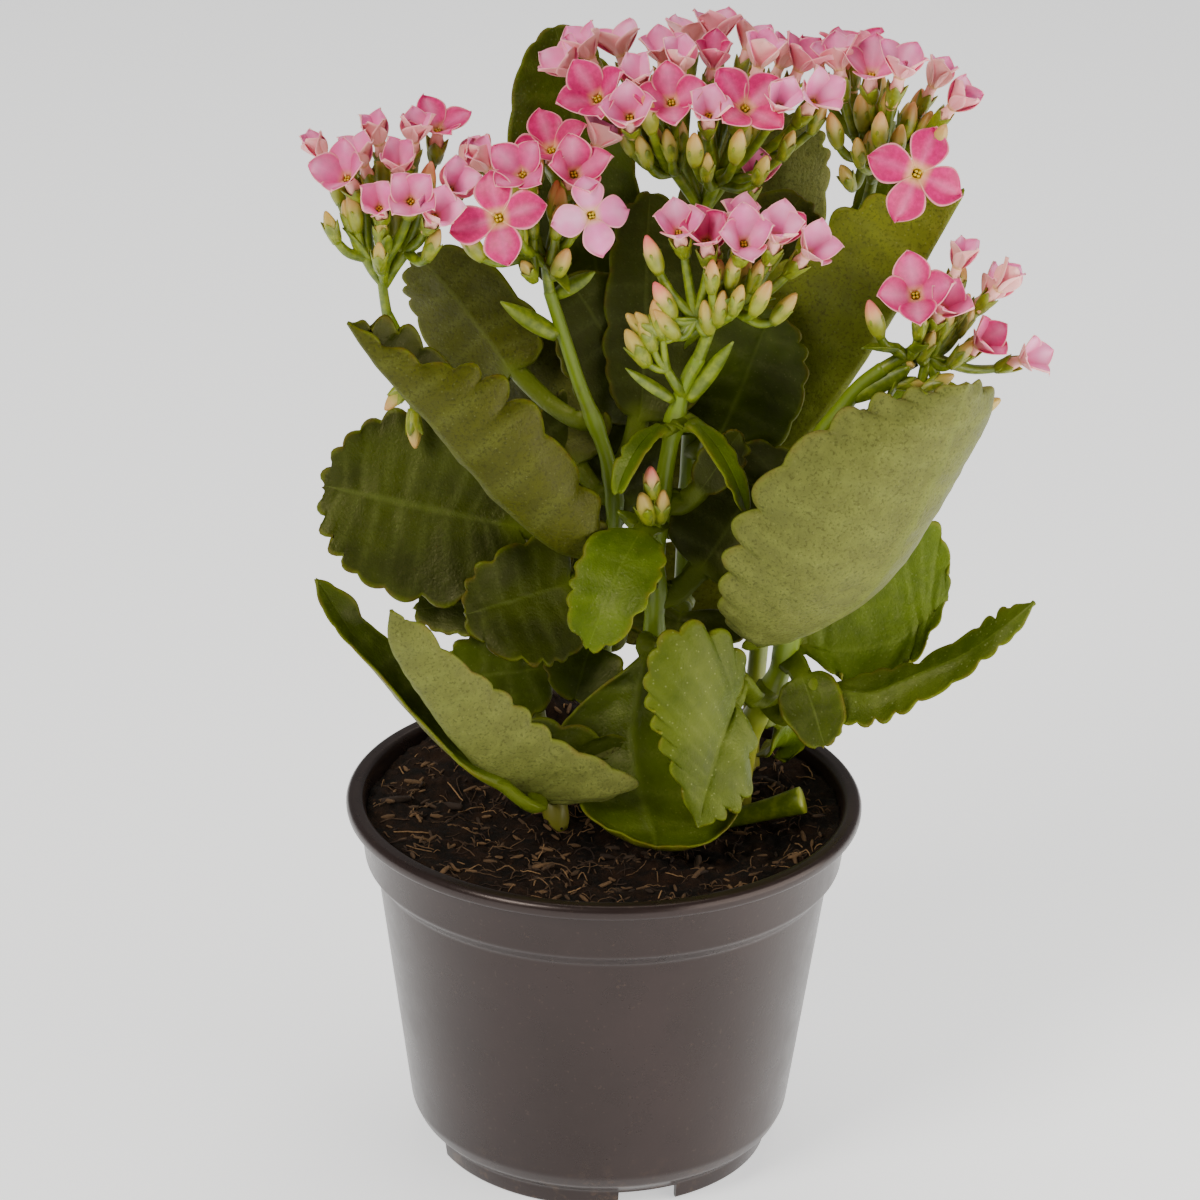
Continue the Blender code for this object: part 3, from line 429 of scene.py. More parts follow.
shown = bpy.data.collections.new("kalanchoe")
bpy.context.scene.collection.children.link(shown)


def piece(name, mesh, mat, slot, *nodes):
    """A visible piece on the one body, standing for its CAD nodes."""
    mesh.materials.clear()
    mesh.materials.append(mat)
    mesh.shade_smooth()
    obj = bpy.data.objects.new(name, mesh)
    shown.objects.link(obj)
    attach(obj, "root")
    if nodes:
        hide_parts(*nodes)
    return obj


# ------------------------------------------------------------------ materials
class Graph:
    """Short hand for a material's node tree."""

    def __init__(self, name):
        self.material = bpy.data.materials.new(name)
        self.material.use_nodes = True
        self.nodes = self.material.node_tree.nodes
        self.links = self.material.node_tree.links
        self.shader = self.nodes["Principled BSDF"]
        self.place = self.nodes.new("ShaderNodeTexCoord").outputs["Object"]

    def feed(self, socket, value):
        if isinstance(value, bpy.types.NodeSocket):
            self.links.new(value, socket)
        elif isinstance(value, (tuple, list)) and len(value) == 3 and len(socket.default_value) == 4:
            socket.default_value = (*value, 1.0)
        else:
            socket.default_value = value

    def set(self, **values):
        for key, value in values.items():
            self.feed(self.shader.inputs[key.replace("_", " ")], value)

    def noise(self, scale, detail=3.0, rough=0.55, distortion=0.0, place=None):
        node = self.nodes.new("ShaderNodeTexNoise")
        self.feed(node.inputs["Vector"], place or self.place)
        node.inputs["Scale"].default_value = scale
        node.inputs["Detail"].default_value = detail
        node.inputs["Roughness"].default_value = rough
        node.inputs["Distortion"].default_value = distortion
        return node.outputs["Fac"]

    def cells(self, scale, feature="F1", output="Distance"):
        node = self.nodes.new("ShaderNodeTexVoronoi")
        node.feature = feature
        self.feed(node.inputs["Vector"], self.place)
        node.inputs["Scale"].default_value = scale
        return node.outputs[output]

    def span(self, value, low, high, to_low=0.0, to_high=1.0, smooth=True):
        node = self.nodes.new("ShaderNodeMapRange")
        node.interpolation_type = "SMOOTHSTEP" if smooth else "LINEAR"
        self.feed(node.inputs["Value"], value)
        for key, number in (("From Min", low), ("From Max", high), ("To Min", to_low), ("To Max", to_high)):
            node.inputs[key].default_value = number
        return node.outputs["Result"]

    def math(self, kind, a, b=0.0):
        node = self.nodes.new("ShaderNodeMath")
        node.operation = kind
        self.feed(node.inputs[0], a)
        self.feed(node.inputs[1], b)
        return node.outputs[0]

    def mix(self, factor, a, b, kind="MIX"):
        node = self.nodes.new("ShaderNodeMix")
        node.data_type = "RGBA"
        node.blend_type = kind
        self.feed(node.inputs[0], factor)
        colours = [s for s in node.inputs if s.type == "RGBA"]
        self.feed(colours[0], a)
        self.feed(colours[1], b)
        return [s for s in node.outputs if s.type == "RGBA"][0]

    def value(self, name):
        node = self.nodes.new("ShaderNodeAttribute")
        node.attribute_name = name
        return node.outputs["Fac"]

    def bump(self, height, strength, distance):
        node = self.nodes.new("ShaderNodeBump")
        node.inputs["Strength"].default_value = strength
        node.inputs["Distance"].default_value = distance
        self.feed(node.inputs["Height"], height)
        self.links.new(node.outputs["Normal"], self.shader.inputs["Normal"])

    def axis(self, which):
        node = self.nodes.new("ShaderNodeSeparateXYZ")
        self.links.new(self.place, node.inputs[0])
        return node.outputs[which]


def srgb(r, g, b):
    """A colour given as it is seen, 0 to 255, in linear light."""
    def one(c):
        c /= 255.0
        return c / 12.92 if c <= 0.04045 else ((c + 0.055) / 1.055) ** 2.4
    return (one(r), one(g), one(b))


def leaf_material(name, upper, light, under, gloss, speckle):
    """Fleshy leaf skin: mottled, grainy, with pale veins and a bronze edge."""
    g = Graph(name)
    broad = g.noise(55.0, 4.0, 0.6)
    middle = g.noise(260.0, 4.0, 0.65)
    grain = g.noise(1500.0, 2.0, 0.6)
    face = g.mix(g.span(broad, 0.35, 0.70), upper, light)
    face = g.mix(g.span(middle, 0.45, 0.75, 0.0, 0.45), face, light)
    back = g.mix(g.span(middle, 0.35, 0.70), under, tuple(c * 1.35 for c in under))
    back = g.mix(g.span(grain, 0.30, 0.50, 0.7, 0.0), back, tuple(c * 0.45 for c in under))
    skin = g.mix(g.value("upper"), back, face)
    dots = g.span(g.cells(700.0), 0.08, 0.20, speckle, 0.0)
    skin = g.mix(dots, skin, srgb(176, 184, 120))
    veins = g.math("MULTIPLY", g.value("vein"), g.span(grain, 0.3, 0.6, 0.02, 0.10))
    skin = g.mix(veins, skin, srgb(150, 162, 84))
    rib = g.span(g.value("across"), 0.0, 0.07, 0.12, 0.0)
    skin = g.mix(rib, skin, srgb(140, 156, 70))
    skin = g.mix(g.value("stalk"), skin, srgb(84, 98, 14))
    edge = g.mix(g.span(middle, 0.45, 0.6), srgb(118, 130, 14), srgb(112, 92, 18))
    skin = g.mix(g.math("MULTIPLY", g.value("rim"), 0.36), skin, edge)
    g.set(Base_Color=skin, Roughness=g.span(middle, 0.3, 0.7, gloss, gloss + 0.14))
    g.set(Specular_IOR_Level=0.32, Specular_Tint=(1.0, 0.93, 0.50))
    g.set(Subsurface_Weight=0.06, Subsurface_Radius=(0.0006, 0.0010, 0.0003))
    wrinkle = g.math("ADD", g.math("MULTIPLY", middle, 0.9), g.math("MULTIPLY", grain, 0.35))
    g.bump(wrinkle, 0.45, 0.0008)
    return g.material


LEAF_SURFACES = {
    "dark": leaf_material("leaf_dark", srgb(34, 41, 0), srgb(54, 64, 0), srgb(70, 72, 8), 0.42, 0.05),
    "mid": leaf_material("leaf_mid", srgb(42, 53, 0), srgb(66, 82, 0), srgb(80, 82, 14), 0.42, 0.08),
    "fresh": leaf_material("leaf_fresh", srgb(58, 78, 0), srgb(86, 108, 0), srgb(96, 104, 22), 0.40, 0.10),
    "mottled": leaf_material("leaf_mottled", srgb(52, 68, 0), srgb(80, 94, 14), srgb(82, 90, 14), 0.42, 0.22),
    "olive": leaf_material("leaf_olive", srgb(42, 50, 0), srgb(60, 67, 0), srgb(58, 61, 0), 0.42, 0.08),
    # Leaf green with painted sheen: a lighter, greyer copy of the olive leaf for leaves turned towards the
    # key lamp; its pale underside stands in for the soft reflection of the white surroundings.
    "bloom": leaf_material("leaf_painted_sheen", srgb(48, 62, 0), srgb(70, 82, 4), srgb(90, 95, 42), 0.46, 0.08),
}


LEAF_SLOTS = {
    "bloom": "leaf_underside", "olive": "leaf_underside",
    "mottled": "leaf_light", "fresh": "leaf_light",
}


def stem_material():
    """Green shoot, yellow and corky near the soil."""
    g = Graph("stem_skin")
    height = g.axis("Z")
    fine = g.noise(500.0, 4.0, 0.6)
    low = g.span(height, SOIL_LEVEL, SOIL_LEVEL + 0.045)
    skin = g.mix(low, srgb(136, 134, 44), srgb(110, 132, 8))
    skin = g.mix(g.span(fine, 0.50, 0.72, 0.0, 0.4), skin, srgb(112, 130, 40))
    skin = g.mix(g.span(g.noise(160.0), 0.55, 0.75, 0.0, 0.45), skin, srgb(72, 66, 18))
    g.set(Base_Color=skin, Roughness=0.42)
    g.set(Subsurface_Weight=0.08, Subsurface_Radius=(0.0008, 0.0012, 0.0004))
    g.bump(fine, 0.3, 0.0004)
    return g.material


def fresh_material():
    """Flower stalks, calyces and green buds: light yellow green, ripening to peach."""
    g = Graph("calyx_skin")
    fine = g.noise(420.0, 3.0, 0.6)
    skin = g.mix(g.span(fine, 0.35, 0.7), srgb(88, 106, 4), srgb(128, 144, 22))
    skin = g.mix(g.value("pale"), skin, srgb(190, 184, 64))
    ripe = g.mix(g.span(g.value("tip"), 0.55, 1.0), srgb(238, 184, 120), srgb(236, 112, 112))
    skin = g.mix(g.value("ripe"), skin, ripe)
    g.set(Base_Color=skin, Roughness=0.40)
    g.set(Subsurface_Weight=0.12, Subsurface_Radius=(0.0010, 0.0012, 0.0004))
    g.bump(fine, 0.2, 0.0003)
    return g.material


def petal_material():
    """Petals: hot to pale pink, peach at the edge and back, yellow in the throat."""
    g = Graph("petal_skin")
    fine = g.noise(900.0, 3.0, 0.6)
    broad = g.noise(160.0, 2.0, 0.5)
    hot = g.mix(g.span(fine, 0.35, 0.7), srgb(196, 0, 100), srgb(218, 2, 120))
    pale = g.mix(g.span(broad, 0.3, 0.7), srgb(255, 184, 222), srgb(250, 134, 198))
    spread = g.math("MULTIPLY", g.math("SUBTRACT", g.value("edge"), 0.45), 0.5)
    depth = g.math("ADD", g.value("shade"), spread)
    skin = g.mix(g.span(depth, 0.05, 0.95, 0.0, 1.0, False), pale, hot)
    back = g.mix(g.value("shade"), srgb(255, 190, 182), srgb(240, 100, 152))
    skin = g.mix(g.value("upper"), back, skin)
    skin = g.mix(g.span(g.value("edge"), 0.86, 1.0, 0.0, 0.55), skin, srgb(255, 196, 188))
    skin = g.mix(g.span(g.value("along"), 0.0, 0.22, 0.7, 0.0), skin, srgb(232, 196, 116))
    skin = g.mix(g.value("throat"), skin, srgb(206, 176, 40))
    g.set(Base_Color=skin, Roughness=0.46)
    g.set(Subsurface_Weight=0.10, Subsurface_Radius=(0.0012, 0.0004, 0.0006))
    g.bump(fine, 0.18, 0.0003)
    return g.material


def pot_material():
    """Taupe grey polypropylene: satin, lightly scuffed, dusty at the foot."""
    g = Graph("pot_plastic")
    height = g.axis("Z")
    cloud = g.noise(30.0, 4.0, 0.6)
    skin = g.mix(g.span(cloud, 0.35, 0.7), srgb(32, 23, 21), srgb(40, 30, 28))
    specks = g.span(g.noise(900.0, 2.0, 0.5), 0.66, 0.74, 0.0, 0.25)
    skin = g.mix(specks, skin, srgb(84, 70, 58))
    foot = g.math("MULTIPLY", g.span(height, 0.018, 0.0, 0.0, 1.0),
        g.span(g.noise(260.0, 4.0, 0.7), 0.52, 0.66))
    skin = g.mix(g.math("MULTIPLY", foot, 0.35), skin, srgb(96, 76, 56))
    scuff = g.span(g.noise(120.0, 5.0, 0.7), 0.35, 0.75, 0.27, 0.34)
    g.set(Base_Color=skin, Roughness=scuff)
    g.set(Specular_IOR_Level=0.42, Specular_Tint=(1.0, 0.86, 0.83))
    g.bump(g.noise(1400.0, 2.0, 0.5), 0.06, 0.0003)
    return g.material


def soil_material():
    """Dark crumbly peat."""
    g = Graph("potting_soil")
    fine = g.noise(700.0, 5.0, 0.7)
    lumps = g.noise(160.0, 4.0, 0.6)
    skin = g.mix(g.span(lumps, 0.35, 0.7), srgb(12, 6, 2), srgb(42, 25, 12))
    skin = g.mix(g.span(fine, 0.55, 0.75, 0.0, 0.7), skin, srgb(78, 52, 31))
    g.set(Base_Color=skin, Roughness=0.92)
    g.set(Specular_IOR_Level=0.25)
    g.bump(g.math("ADD", fine, lumps), 0.9, 0.0012)
    return g.material


def litter_material(name, dark, light):
    """Fibres and bark chips, each with its own tint."""
    g = Graph(name)
    skin = g.mix(g.value("tint"), dark, light)
    skin = g.mix(g.span(g.noise(900.0, 3.0, 0.6), 0.45, 0.7, 0.0, 0.45), skin, dark)
    g.set(Base_Color=skin, Roughness=0.85)
    g.bump(g.noise(1800.0, 3.0, 0.6), 0.5, 0.0004)
    return g.material


STEM_SKIN = stem_material()
FRESH_SKIN = fresh_material()
PETAL_SKIN = petal_material()


# ---------------------------------------------------------------------- stems
def stem_radius(factor, share):
    return STEM_RADIUS * MM * factor * (1.0 + (STEM_TAPER - 1.0) * share)


def stem_line(name, steps=2):
    return spline([at(p) for p in STEMS[name][1]], steps)


def on_stem(name, height):
    """Centre, direction and radius of a shoot at a height above the soil."""
    path = stem_line(name)
    level = SOIL_LEVEL + height * MM
    span = path[-1][2] - path[0][2]
    for a, b in zip(path, path[1:]):
        if b[2] >= level:
            t = (level - a[2]) / (b[2] - a[2])
            share = (level - path[0][2]) / span
            return a + (b - a) * t, unit(b - a), stem_radius(STEMS[name][0], share)
    return path[-1], unit(path[-1] - path[-2]), stem_radius(STEMS[name][0], 1.0)


# How far a shoot goes into the soil, and how it swells (height, reach).
ROOT_LENGTH = 0.010
NODE_SWELL = (0.0005, 0.0028)
FOOT_SWELL = (0.0008, 0.004)


def make_stem(name):
    """A fleshy shoot with a swelling at every leaf."""
    factor = STEMS[name][0]
    path = stem_line(name, 16)
    root = path[0] - vec(0, 0, ROOT_LENGTH)
    path = np.vstack([root, path])
    height = (path[:, 2] - SOIL_LEVEL) / (path[-1][2] - SOIL_LEVEL)
    radii = np.array([stem_radius(factor, max(0.0, h)) for h in height])
    swell = np.zeros(len(path))
    (node_swell, node_reach), (foot_swell, foot_reach) = NODE_SWELL, FOOT_SWELL
    for spec in LEAVES.values():
        if spec[0] == name:
            level = SOIL_LEVEL + spec[1] * MM
            swell += node_swell * np.exp(-(((path[:, 2] - level) / node_reach) ** 2))
    swell += foot_swell * np.exp(-(((path[:, 2] - SOIL_LEVEL) / foot_reach) ** 2))
    shape = Shape()
    shape.tube(path, radii + swell, 20)
    piece("shoot_" + name[5:], shape.mesh(name), STEM_SKIN, "stem_green", name)


for stem in STEMS:
    make_stem(stem)


# --------------------------------------------------------------------- leaves
COLUMNS = np.array([0, 0.06, 0.16, 0.30, 0.46, 0.62, 0.76, 0.87, 0.95, 1.0])
ROW_STEP = 0.85 * MM
HEEL = 2.4 * MM


class Midrib:
    """The bowed midrib of a leaf, and the frame that rides along it."""

    def __init__(self, spec):
        stem, height, tip, face, _, _, arch, petiole = spec[:8]
        centre, along, radius = on_stem(stem, height)
        end = at(tip)
        away = end - centre
        away = unit(away - along * away.dot(along))
        start = centre + away * (radius * 1.03 + HEEL)
        look = unit(vec(*face))
        span = end - start
        lean = unit(look - span * (look.dot(span) / span.dot(span)))
        bow = lean * (arch * MM * 4 / 3)
        lead = start + away * (petiole * MM)
        lead = lead + (start + span / 3 - lead) * 0.4
        self.knots = (start, lead + bow, start + span * 2 / 3 + bow, end)
        self.length = np.linalg.norm(span)
        self.away = away
        self.look = look
        self.heel = radius * 0.6 + HEEL

    def point(self, t):
        t = np.asarray(t, float)[..., None]
        inside = np.clip(t, 0.0, 1.0)
        p, q, r, s = self.knots
        u = 1.0 - inside
        found = p * u ** 3 + q * 3 * u * u * inside + r * 3 * u * inside ** 2 + s * inside ** 3
        ahead = self.ahead(t[..., 0])
        return found + ahead * ((t - inside) * self.length)

    def ahead(self, t):
        t = np.clip(np.asarray(t, float), 0.0, 1.0)[..., None]
        p, q, r, s = self.knots
        u = 1.0 - t
        slope = (q - p) * 3 * u * u + (r - q) * 6 * u * t + (s - r) * 3 * t * t
        return unit(slope)

    def frame(self, t, twist=0.0):
        ahead = self.ahead(t)
        look = self.look - ahead * (ahead @ self.look)[..., None]
        look = unit(look)
        across = np.cross(ahead, look)
        turn = np.radians(twist) * np.clip(t, 0, 1)[..., None]
        return ahead, look * np.cos(turn) + across * np.sin(turn), across * np.cos(turn) - look * np.sin(turn)


def blade_width(x, widest):
    """Half width of a blade along its length, 1 at the widest place."""
    rise = np.sqrt(np.clip(1.0 - (1.0 - np.minimum(x / widest, 1.0)) ** 2, 0.0, 1.0))
    fall = np.sqrt(np.clip(1.0 - (np.maximum(x - widest, 0.0) / (1.0 - widest)) ** 2.3, 0.0, 1.0))
    return rise * fall


def scallops(s, total, period, depth, draw):
    """Rounded teeth along a margin: broad lobes parted by narrow notches."""
    count = max(3, round(total / period))
    phase = s / total * count + 0.42 * np.sin(s / total * 9.0 + draw.uniform(0, 6.3))
    wave = np.abs(np.sin(np.pi * (phase + draw.uniform(0, 1)))) ** 0.7
    size = 0.95 + 0.45 * np.sin(s / total * 15.0 + draw.uniform(0, 6.3))
    fade = ramp(s, 3.0 * MM, 12.0 * MM)
    return depth * size * fade * (wave - 0.62)


# What sets single leaves apart: twist in degrees, roll of the margin, wave,
# teeth and their period in millimetres.
EXTRAS = {
    "leaf_left_round": {"teeth": 2.4, "period": 6.6, "wave": 1.6},
    "leaf_left_under": {"teeth": 1.3, "period": 5.5},
    "leaf_centre_left": {"teeth": 2.0, "period": 6.0, "wave": 1.6},
    "leaf_lower_left": {"teeth": 1.2, "period": 6.0},
    "leaf_centre_small": {"teeth": 1.5, "period": 5.0},
    "leaf_right_upper": {"teeth": 2.6, "period": 9.0},
    "leaf_top_left": {"teeth": 0.7, "period": 8.0},
    "leaf_right_pointed": {"teeth": 0.8, "period": 5.0},
    "leaf_back_grey": {"teeth": 1.8, "period": 7.0},
    "leaf_left_upper": {"teeth": 1.5, "period": 7.0},
}

# Leaves drawn by their midrib and their two margins, each from base to tip.
DRAWN = {
    "leaf_left_large": (
        [(0, -8, 69), (-10, -13, 72), (-20, -17, 81), (-31, -20, 94), (-40, -22, 106), (-50, -24, 118),
            (-57, -25, 129)],
        [(1, -9, 70), (-4, -14, 85), (-11, -17, 98), (-18, -19, 108), (-29, -21, 117), (-40, -22, 119),
            (-49, -24, 124), (-57, -25, 129)],
        [(1, -6, 70), (-4, 2, 76), (-12, 0, 87), (-24, -4, 100), (-34, -8, 112), (-46, -14, 124),
            (-57, -25, 129)],
        {"teeth": 3.2, "period": 10.0, "bulge": -0.16},
    ),
    "leaf_right_large": (
        [(35, -9, 49), (43, -14, 53), (51, -18, 59), (58, -21, 67), (64, -23, 78), (69, -24, 90),
            (73, -25, 102), (77, -26, 118)],
        [(34, -10, 49), (26, -17, 59), (26, -22, 72), (30, -25, 86), (36, -27, 98), (45, -27, 107),
            (56, -27, 113), (68, -27, 116), (77, -26, 118)],
        [(36, -6, 49), (47, -2, 54), (57, 0, 62), (67, -2, 74), (75, -6, 88), (82, -8, 102),
            (83, -14, 112), (77, -26, 118)],
        {"teeth": 3.4, "period": 9.5, "bulge": -0.14},
    ),
    "leaf_front_left_low": (
        [(-15, -22, 17), (-24, -28, 22), (-32, -34, 33), (-41, -38, 48), (-47, -41, 60), (-47, -42, 69)],
        [(-13, -23, 17), (-3, -26, 17), (7, -28, 21), (-1, -29, 28), (-11, -31, 34), (-22, -34, 45),
            (-34, -38, 57), (-41, -41, 65), (-47, -42, 69)],
        [(-13, -20, 17), (-1, -14, 17), (15, -14, 20), (2, -15, 27), (-10, -17, 31), (-23, -21, 37),
            (-35, -28, 50), (-42, -36, 61), (-47, -42, 69)],
        {"teeth": 1.5, "period": 8.0, "bulge": -0.10},
    ),
    "leaf_front_left_far": (
        [(-23, -30, 22), (-34, -31, 30), (-43, -29, 39), (-50, -27, 47), (-57, -24, 55), (-65, -20, 67)],
        [(-22, -26, 22), (-30, -20, 31), (-40, -18, 41), (-47, -17, 50), (-54, -18, 56), (-57, -20, 62),
            (-62, -20, 66), (-65, -20, 67)],
        [(-24, -32, 23), (-32, -35, 29), (-41, -35, 40), (-51, -32, 50), (-60, -27, 58), (-64, -23, 63),
            (-65, -20, 67)],
        {"teeth": 0.8, "period": 7.0, "bulge": -0.05},
    ),
    "leaf_front_centre": (
        [(29, -17, 38), (26, -25, 33), (23, -31, 24), (21, -34, 14)],
        [(29, -18, 39), (31, -20, 48), (27, -22, 55), (18, -26, 60), (11, -29, 57), (9, -31, 48),
            (12, -33, 37), (16, -34, 26), (21, -34, 14)],
        [(30, -17, 37), (33, -19, 31), (33, -23, 24), (32, -27, 19), (27, -32, 16), (21, -34, 14)],
        {"teeth": 2.5, "period": 6.2, "bulge": 0.10},
    ),
    "leaf_centre_dark": (
        [(9, -8, 46), (7, -11, 36), (6, -14, 27), (8, -20, 16), (11, -27, 9), (12, -33, 8)],
        [(8, -9, 45), (-1, -10, 37), (-9, -12, 30), (-10, -17, 23), (-6, -25, 17), (0, -31, 12),
            (12, -34, 9)],
        [(10, -8, 45), (21, -10, 36), (30, -14, 26), (32, -20, 17), (29, -28, 13), (22, -33, 10),
            (12, -34, 9)],
        {"teeth": 0.6, "period": 9.0, "bulge": -0.12},
    ),
    "leaf_right_low": (
        [(50, -8, 37), (60, -9, 36), (70, -10, 41), (81, -11, 47), (89, -12, 54), (96, -12, 61)],
        [(50, -6, 37), (58, -3, 38), (68, -3, 41), (80, -5, 48), (89, -8, 57), (96, -12, 61)],
        [(49, -10, 35), (54, -13, 31), (63, -15, 33), (75, -16, 40), (86, -15, 49), (93, -13, 55),
            (96, -12, 61)],
        {"teeth": 1.9, "period": 6.0, "bulge": -0.10},
    ),
    "leaf_right_bright": (
        [(45, 8, 41), (54, 9, 39), (66, 12, 40), (73, 15, 44), (79, 18, 49)],
        [(45, 9, 42), (49, 12, 56), (58, 15, 66), (67, 17, 71), (75, 18, 68), (79, 18, 59), (79, 18, 49)],
        [(45, 7, 40), (53, 3, 36), (61, 3, 33), (69, 6, 36), (75, 12, 42), (79, 18, 49)],
        {"teeth": 2.2, "period": 6.0, "bulge": -0.06},
    ),
}

# Leaves that fill the heart and the back of the plant.
MORE_LEAVES = {
    "heart_left": ("stem_back", 62, (-14, 18, 96), (0.05, -0.90, 0.40), (15, 16), 6, 3, 14, 5, 0.40, "dark"),
    "heart_right": ("stem_back", 52, (42, 12, 86), (-0.10, -0.90, 0.40), (16, 15), 6, 3, 12, 5, 0.40, "dark"),
    "heart_low": ("stem_back", 44, (16, 12, 40), (0.00, -0.95, 0.25), (15, 15), 6, 3, 8, 5, 0.40, "dark"),
    "heart_low_left": ("stem_back", 36, (-20, 24, 52), (0.00, -0.90, 0.40), (13, 14), 6, 3, 10, 4, 0.40,
        "mid"),
    "heart_top": ("stem_back", 82, (36, 10, 122), (0.10, -0.85, 0.50), (13, 14), 8, 3, 10, 3, 0.40, "mid"),
    "heart_top_left": ("stem_back", 88, (-10, 16, 126), (0.05, -0.90, 0.40), (12, 13), 6, 3, 12, 4, 0.40,
        "dark"),
    "behind_left": ("stem_mid_left", 42, (-30, 44, 58), (-0.30, 0.85, 0.45), (17, 17), 10, 4, 14, 6, 0.42,
        "mid"),
    "behind_low": ("stem_back", 26, (10, 56, 44), (-0.10, 0.85, 0.50), (16, 17), 12, 4, 12, 6, 0.42, "mid"),
    "behind_middle": ("stem_back", 58, (28, 57, 96), (0.10, 0.90, 0.40), (18, 18), 10, 4, 14, 6, 0.42,
        "dark"),
    "behind_right": ("stem_back_right", 48, (72, 48, 62), (0.30, 0.80, 0.50), (16, 17), 10, 4, 12, 6, 0.42,
        "mid"),
    "behind_high": ("stem_back_right", 84, (30, 56, 122), (-0.10, 0.90, 0.40), (15, 15), 8, 3, 14, 5, 0.42,
        "mid"),
    "side_right": ("stem_back_right", 66, (80, 22, 98), (0.50, -0.50, 0.60), (12, 12), 16, 3, 14, 3, 0.42,
        "fresh"),
}
ALL_LEAVES = {**LEAVES, **MORE_LEAVES}


def grid_normals(grid):
    """Unit normals of a grid, each the mean of the faces around it."""
    a, b = grid[:-1, :-1], grid[:-1, 1:]
    c, d = grid[1:, 1:], grid[1:, :-1]
    face = np.cross(c - a, d - b)
    total = np.zeros(grid.shape)
    for rows, cols in ((0, 0), (0, 1), (1, 0), (1, 1)):
        total[rows:rows + face.shape[0], cols:cols + face.shape[1]] += face
    size = np.linalg.norm(total, axis=-1, keepdims=True)
    return total / np.maximum(size, 1e-12)


def quilted(s, w, draw):
    """Low pillows between the veins, in metres, over a blade's own coordinates."""
    seed = draw.randrange(1000)
    broad = lattice_noise(s / MM, w / MM, 5.5, seed)
    fine = lattice_noise(s / MM, w / MM, 2.2, seed + 1)
    return (0.30 * broad + 0.14 * fine) * MM


def petiole_rows(path, look, width_end):
    """Rows of a leaf stalk: sheet points, normals and half thickness."""
    ahead = unit(np.gradient(path, axis=0))
    look = unit(look - ahead * (ahead @ look)[:, None])
    across = np.cross(ahead, look)
    v = np.concatenate([-COLUMNS[:0:-1], COLUMNS])
    share = np.linspace(0.0, 1.0, len(path))
    width = PETIOLE_HALF * MM * (1.0 + 0.3 * (1.0 - share) ** 2)
    width = width * (1 - share ** 2) + width_end * share ** 2
    grid = path[:, None] + across[:, None] * (v[None, :] * width[:, None])[..., None]
    grid = grid + look[:, None] * (0.4 * MM * v[None, :] ** 2)[..., None]
    normal = np.broadcast_to(look[:, None], grid.shape)
    half = np.broadcast_to(PETIOLE_THICK / 2 * MM * np.sqrt(1.0 - 0.96 * v ** 2), grid.shape[:2])
    return grid, normal, half


def finish_leaf(name, spec, stalk_part, grid, share, width, vein):
    """Thickens a blade, joins it to its stalk and shows it.

    share runs 0 to 1 from the base to the tip of each row, width is the half
    width of each row on each side and vein marks the side veins.
    """
    v = np.concatenate([-COLUMNS[:0:-1], COLUMNS])
    normal = grid_normals(grid)
    reach = np.abs(v)[None, :] * width
    to_edge = (1.0 - np.abs(v))[None, :] * width
    keel = 0.5 * MM * np.exp(-((reach / (1.6 * MM)) ** 2)) * (1.0 - 0.8 * share[:, None])
    half = 0.58 * MM + keel - 0.20 * MM * ramp(np.abs(v), 0.7, 1.0)[None, :]
    half = half * (1.0 - 0.3 * share[:, None])
    blend = ramp(share, 0.0, 0.16)[:, None]
    stalk_grid, stalk_normal, stalk_half = stalk_part
    half = stalk_half[-1][None, :] * (1.0 - blend) + half * blend
    normal = unit(normal * (0.02 + blend[..., None]) + stalk_normal[-1][None] * (1.0 - blend[..., None]))
    rim = np.clip(1.0 - to_edge / (0.7 * MM), 0.0, 1.0) * ramp(share, 0.0, 0.08)[:, None]
    none = np.zeros(stalk_grid.shape[:2])
    stalky = 0.9 * (1.0 - ramp(share, 0.0, 0.12))[:, None] * np.clip(1.0 - reach / (6 * MM), 0, 1)
    shape = Shape("upper", "across", "rim", "stalk", "vein")
    shape.sheet(
        np.concatenate([stalk_grid, grid]), np.concatenate([stalk_normal, normal]),
        np.concatenate([stalk_half, half]), 0.36 * MM,
        across=np.concatenate([none + 0.5, np.broadcast_to(np.abs(v)[None, :], half.shape)]),
        rim=np.concatenate([none, rim]), stalk=np.concatenate([none + 0.9, stalky]),
        vein=np.concatenate([none, vein]),
    )
    surface = spec[-1]
    slot = LEAF_SLOTS.get(surface, "leaf_green")
    nodes = [name] if name in LEAVES else []
    label = name[5:] if name in LEAVES else name
    piece("blade_" + label, shape.mesh(name), LEAF_SURFACES[surface], slot, *nodes)


def rib_veins(s, period, v):
    """Side veins that leave the midrib once every period."""
    phase = s / (period * MM)
    line = np.exp(-((((phase % 1.0) - 0.5) / 0.16) ** 2))
    return line[:, None] * ramp(v, 0.02, 0.10)[None, :] * (1.0 - 0.8 * v[None, :] ** 2)


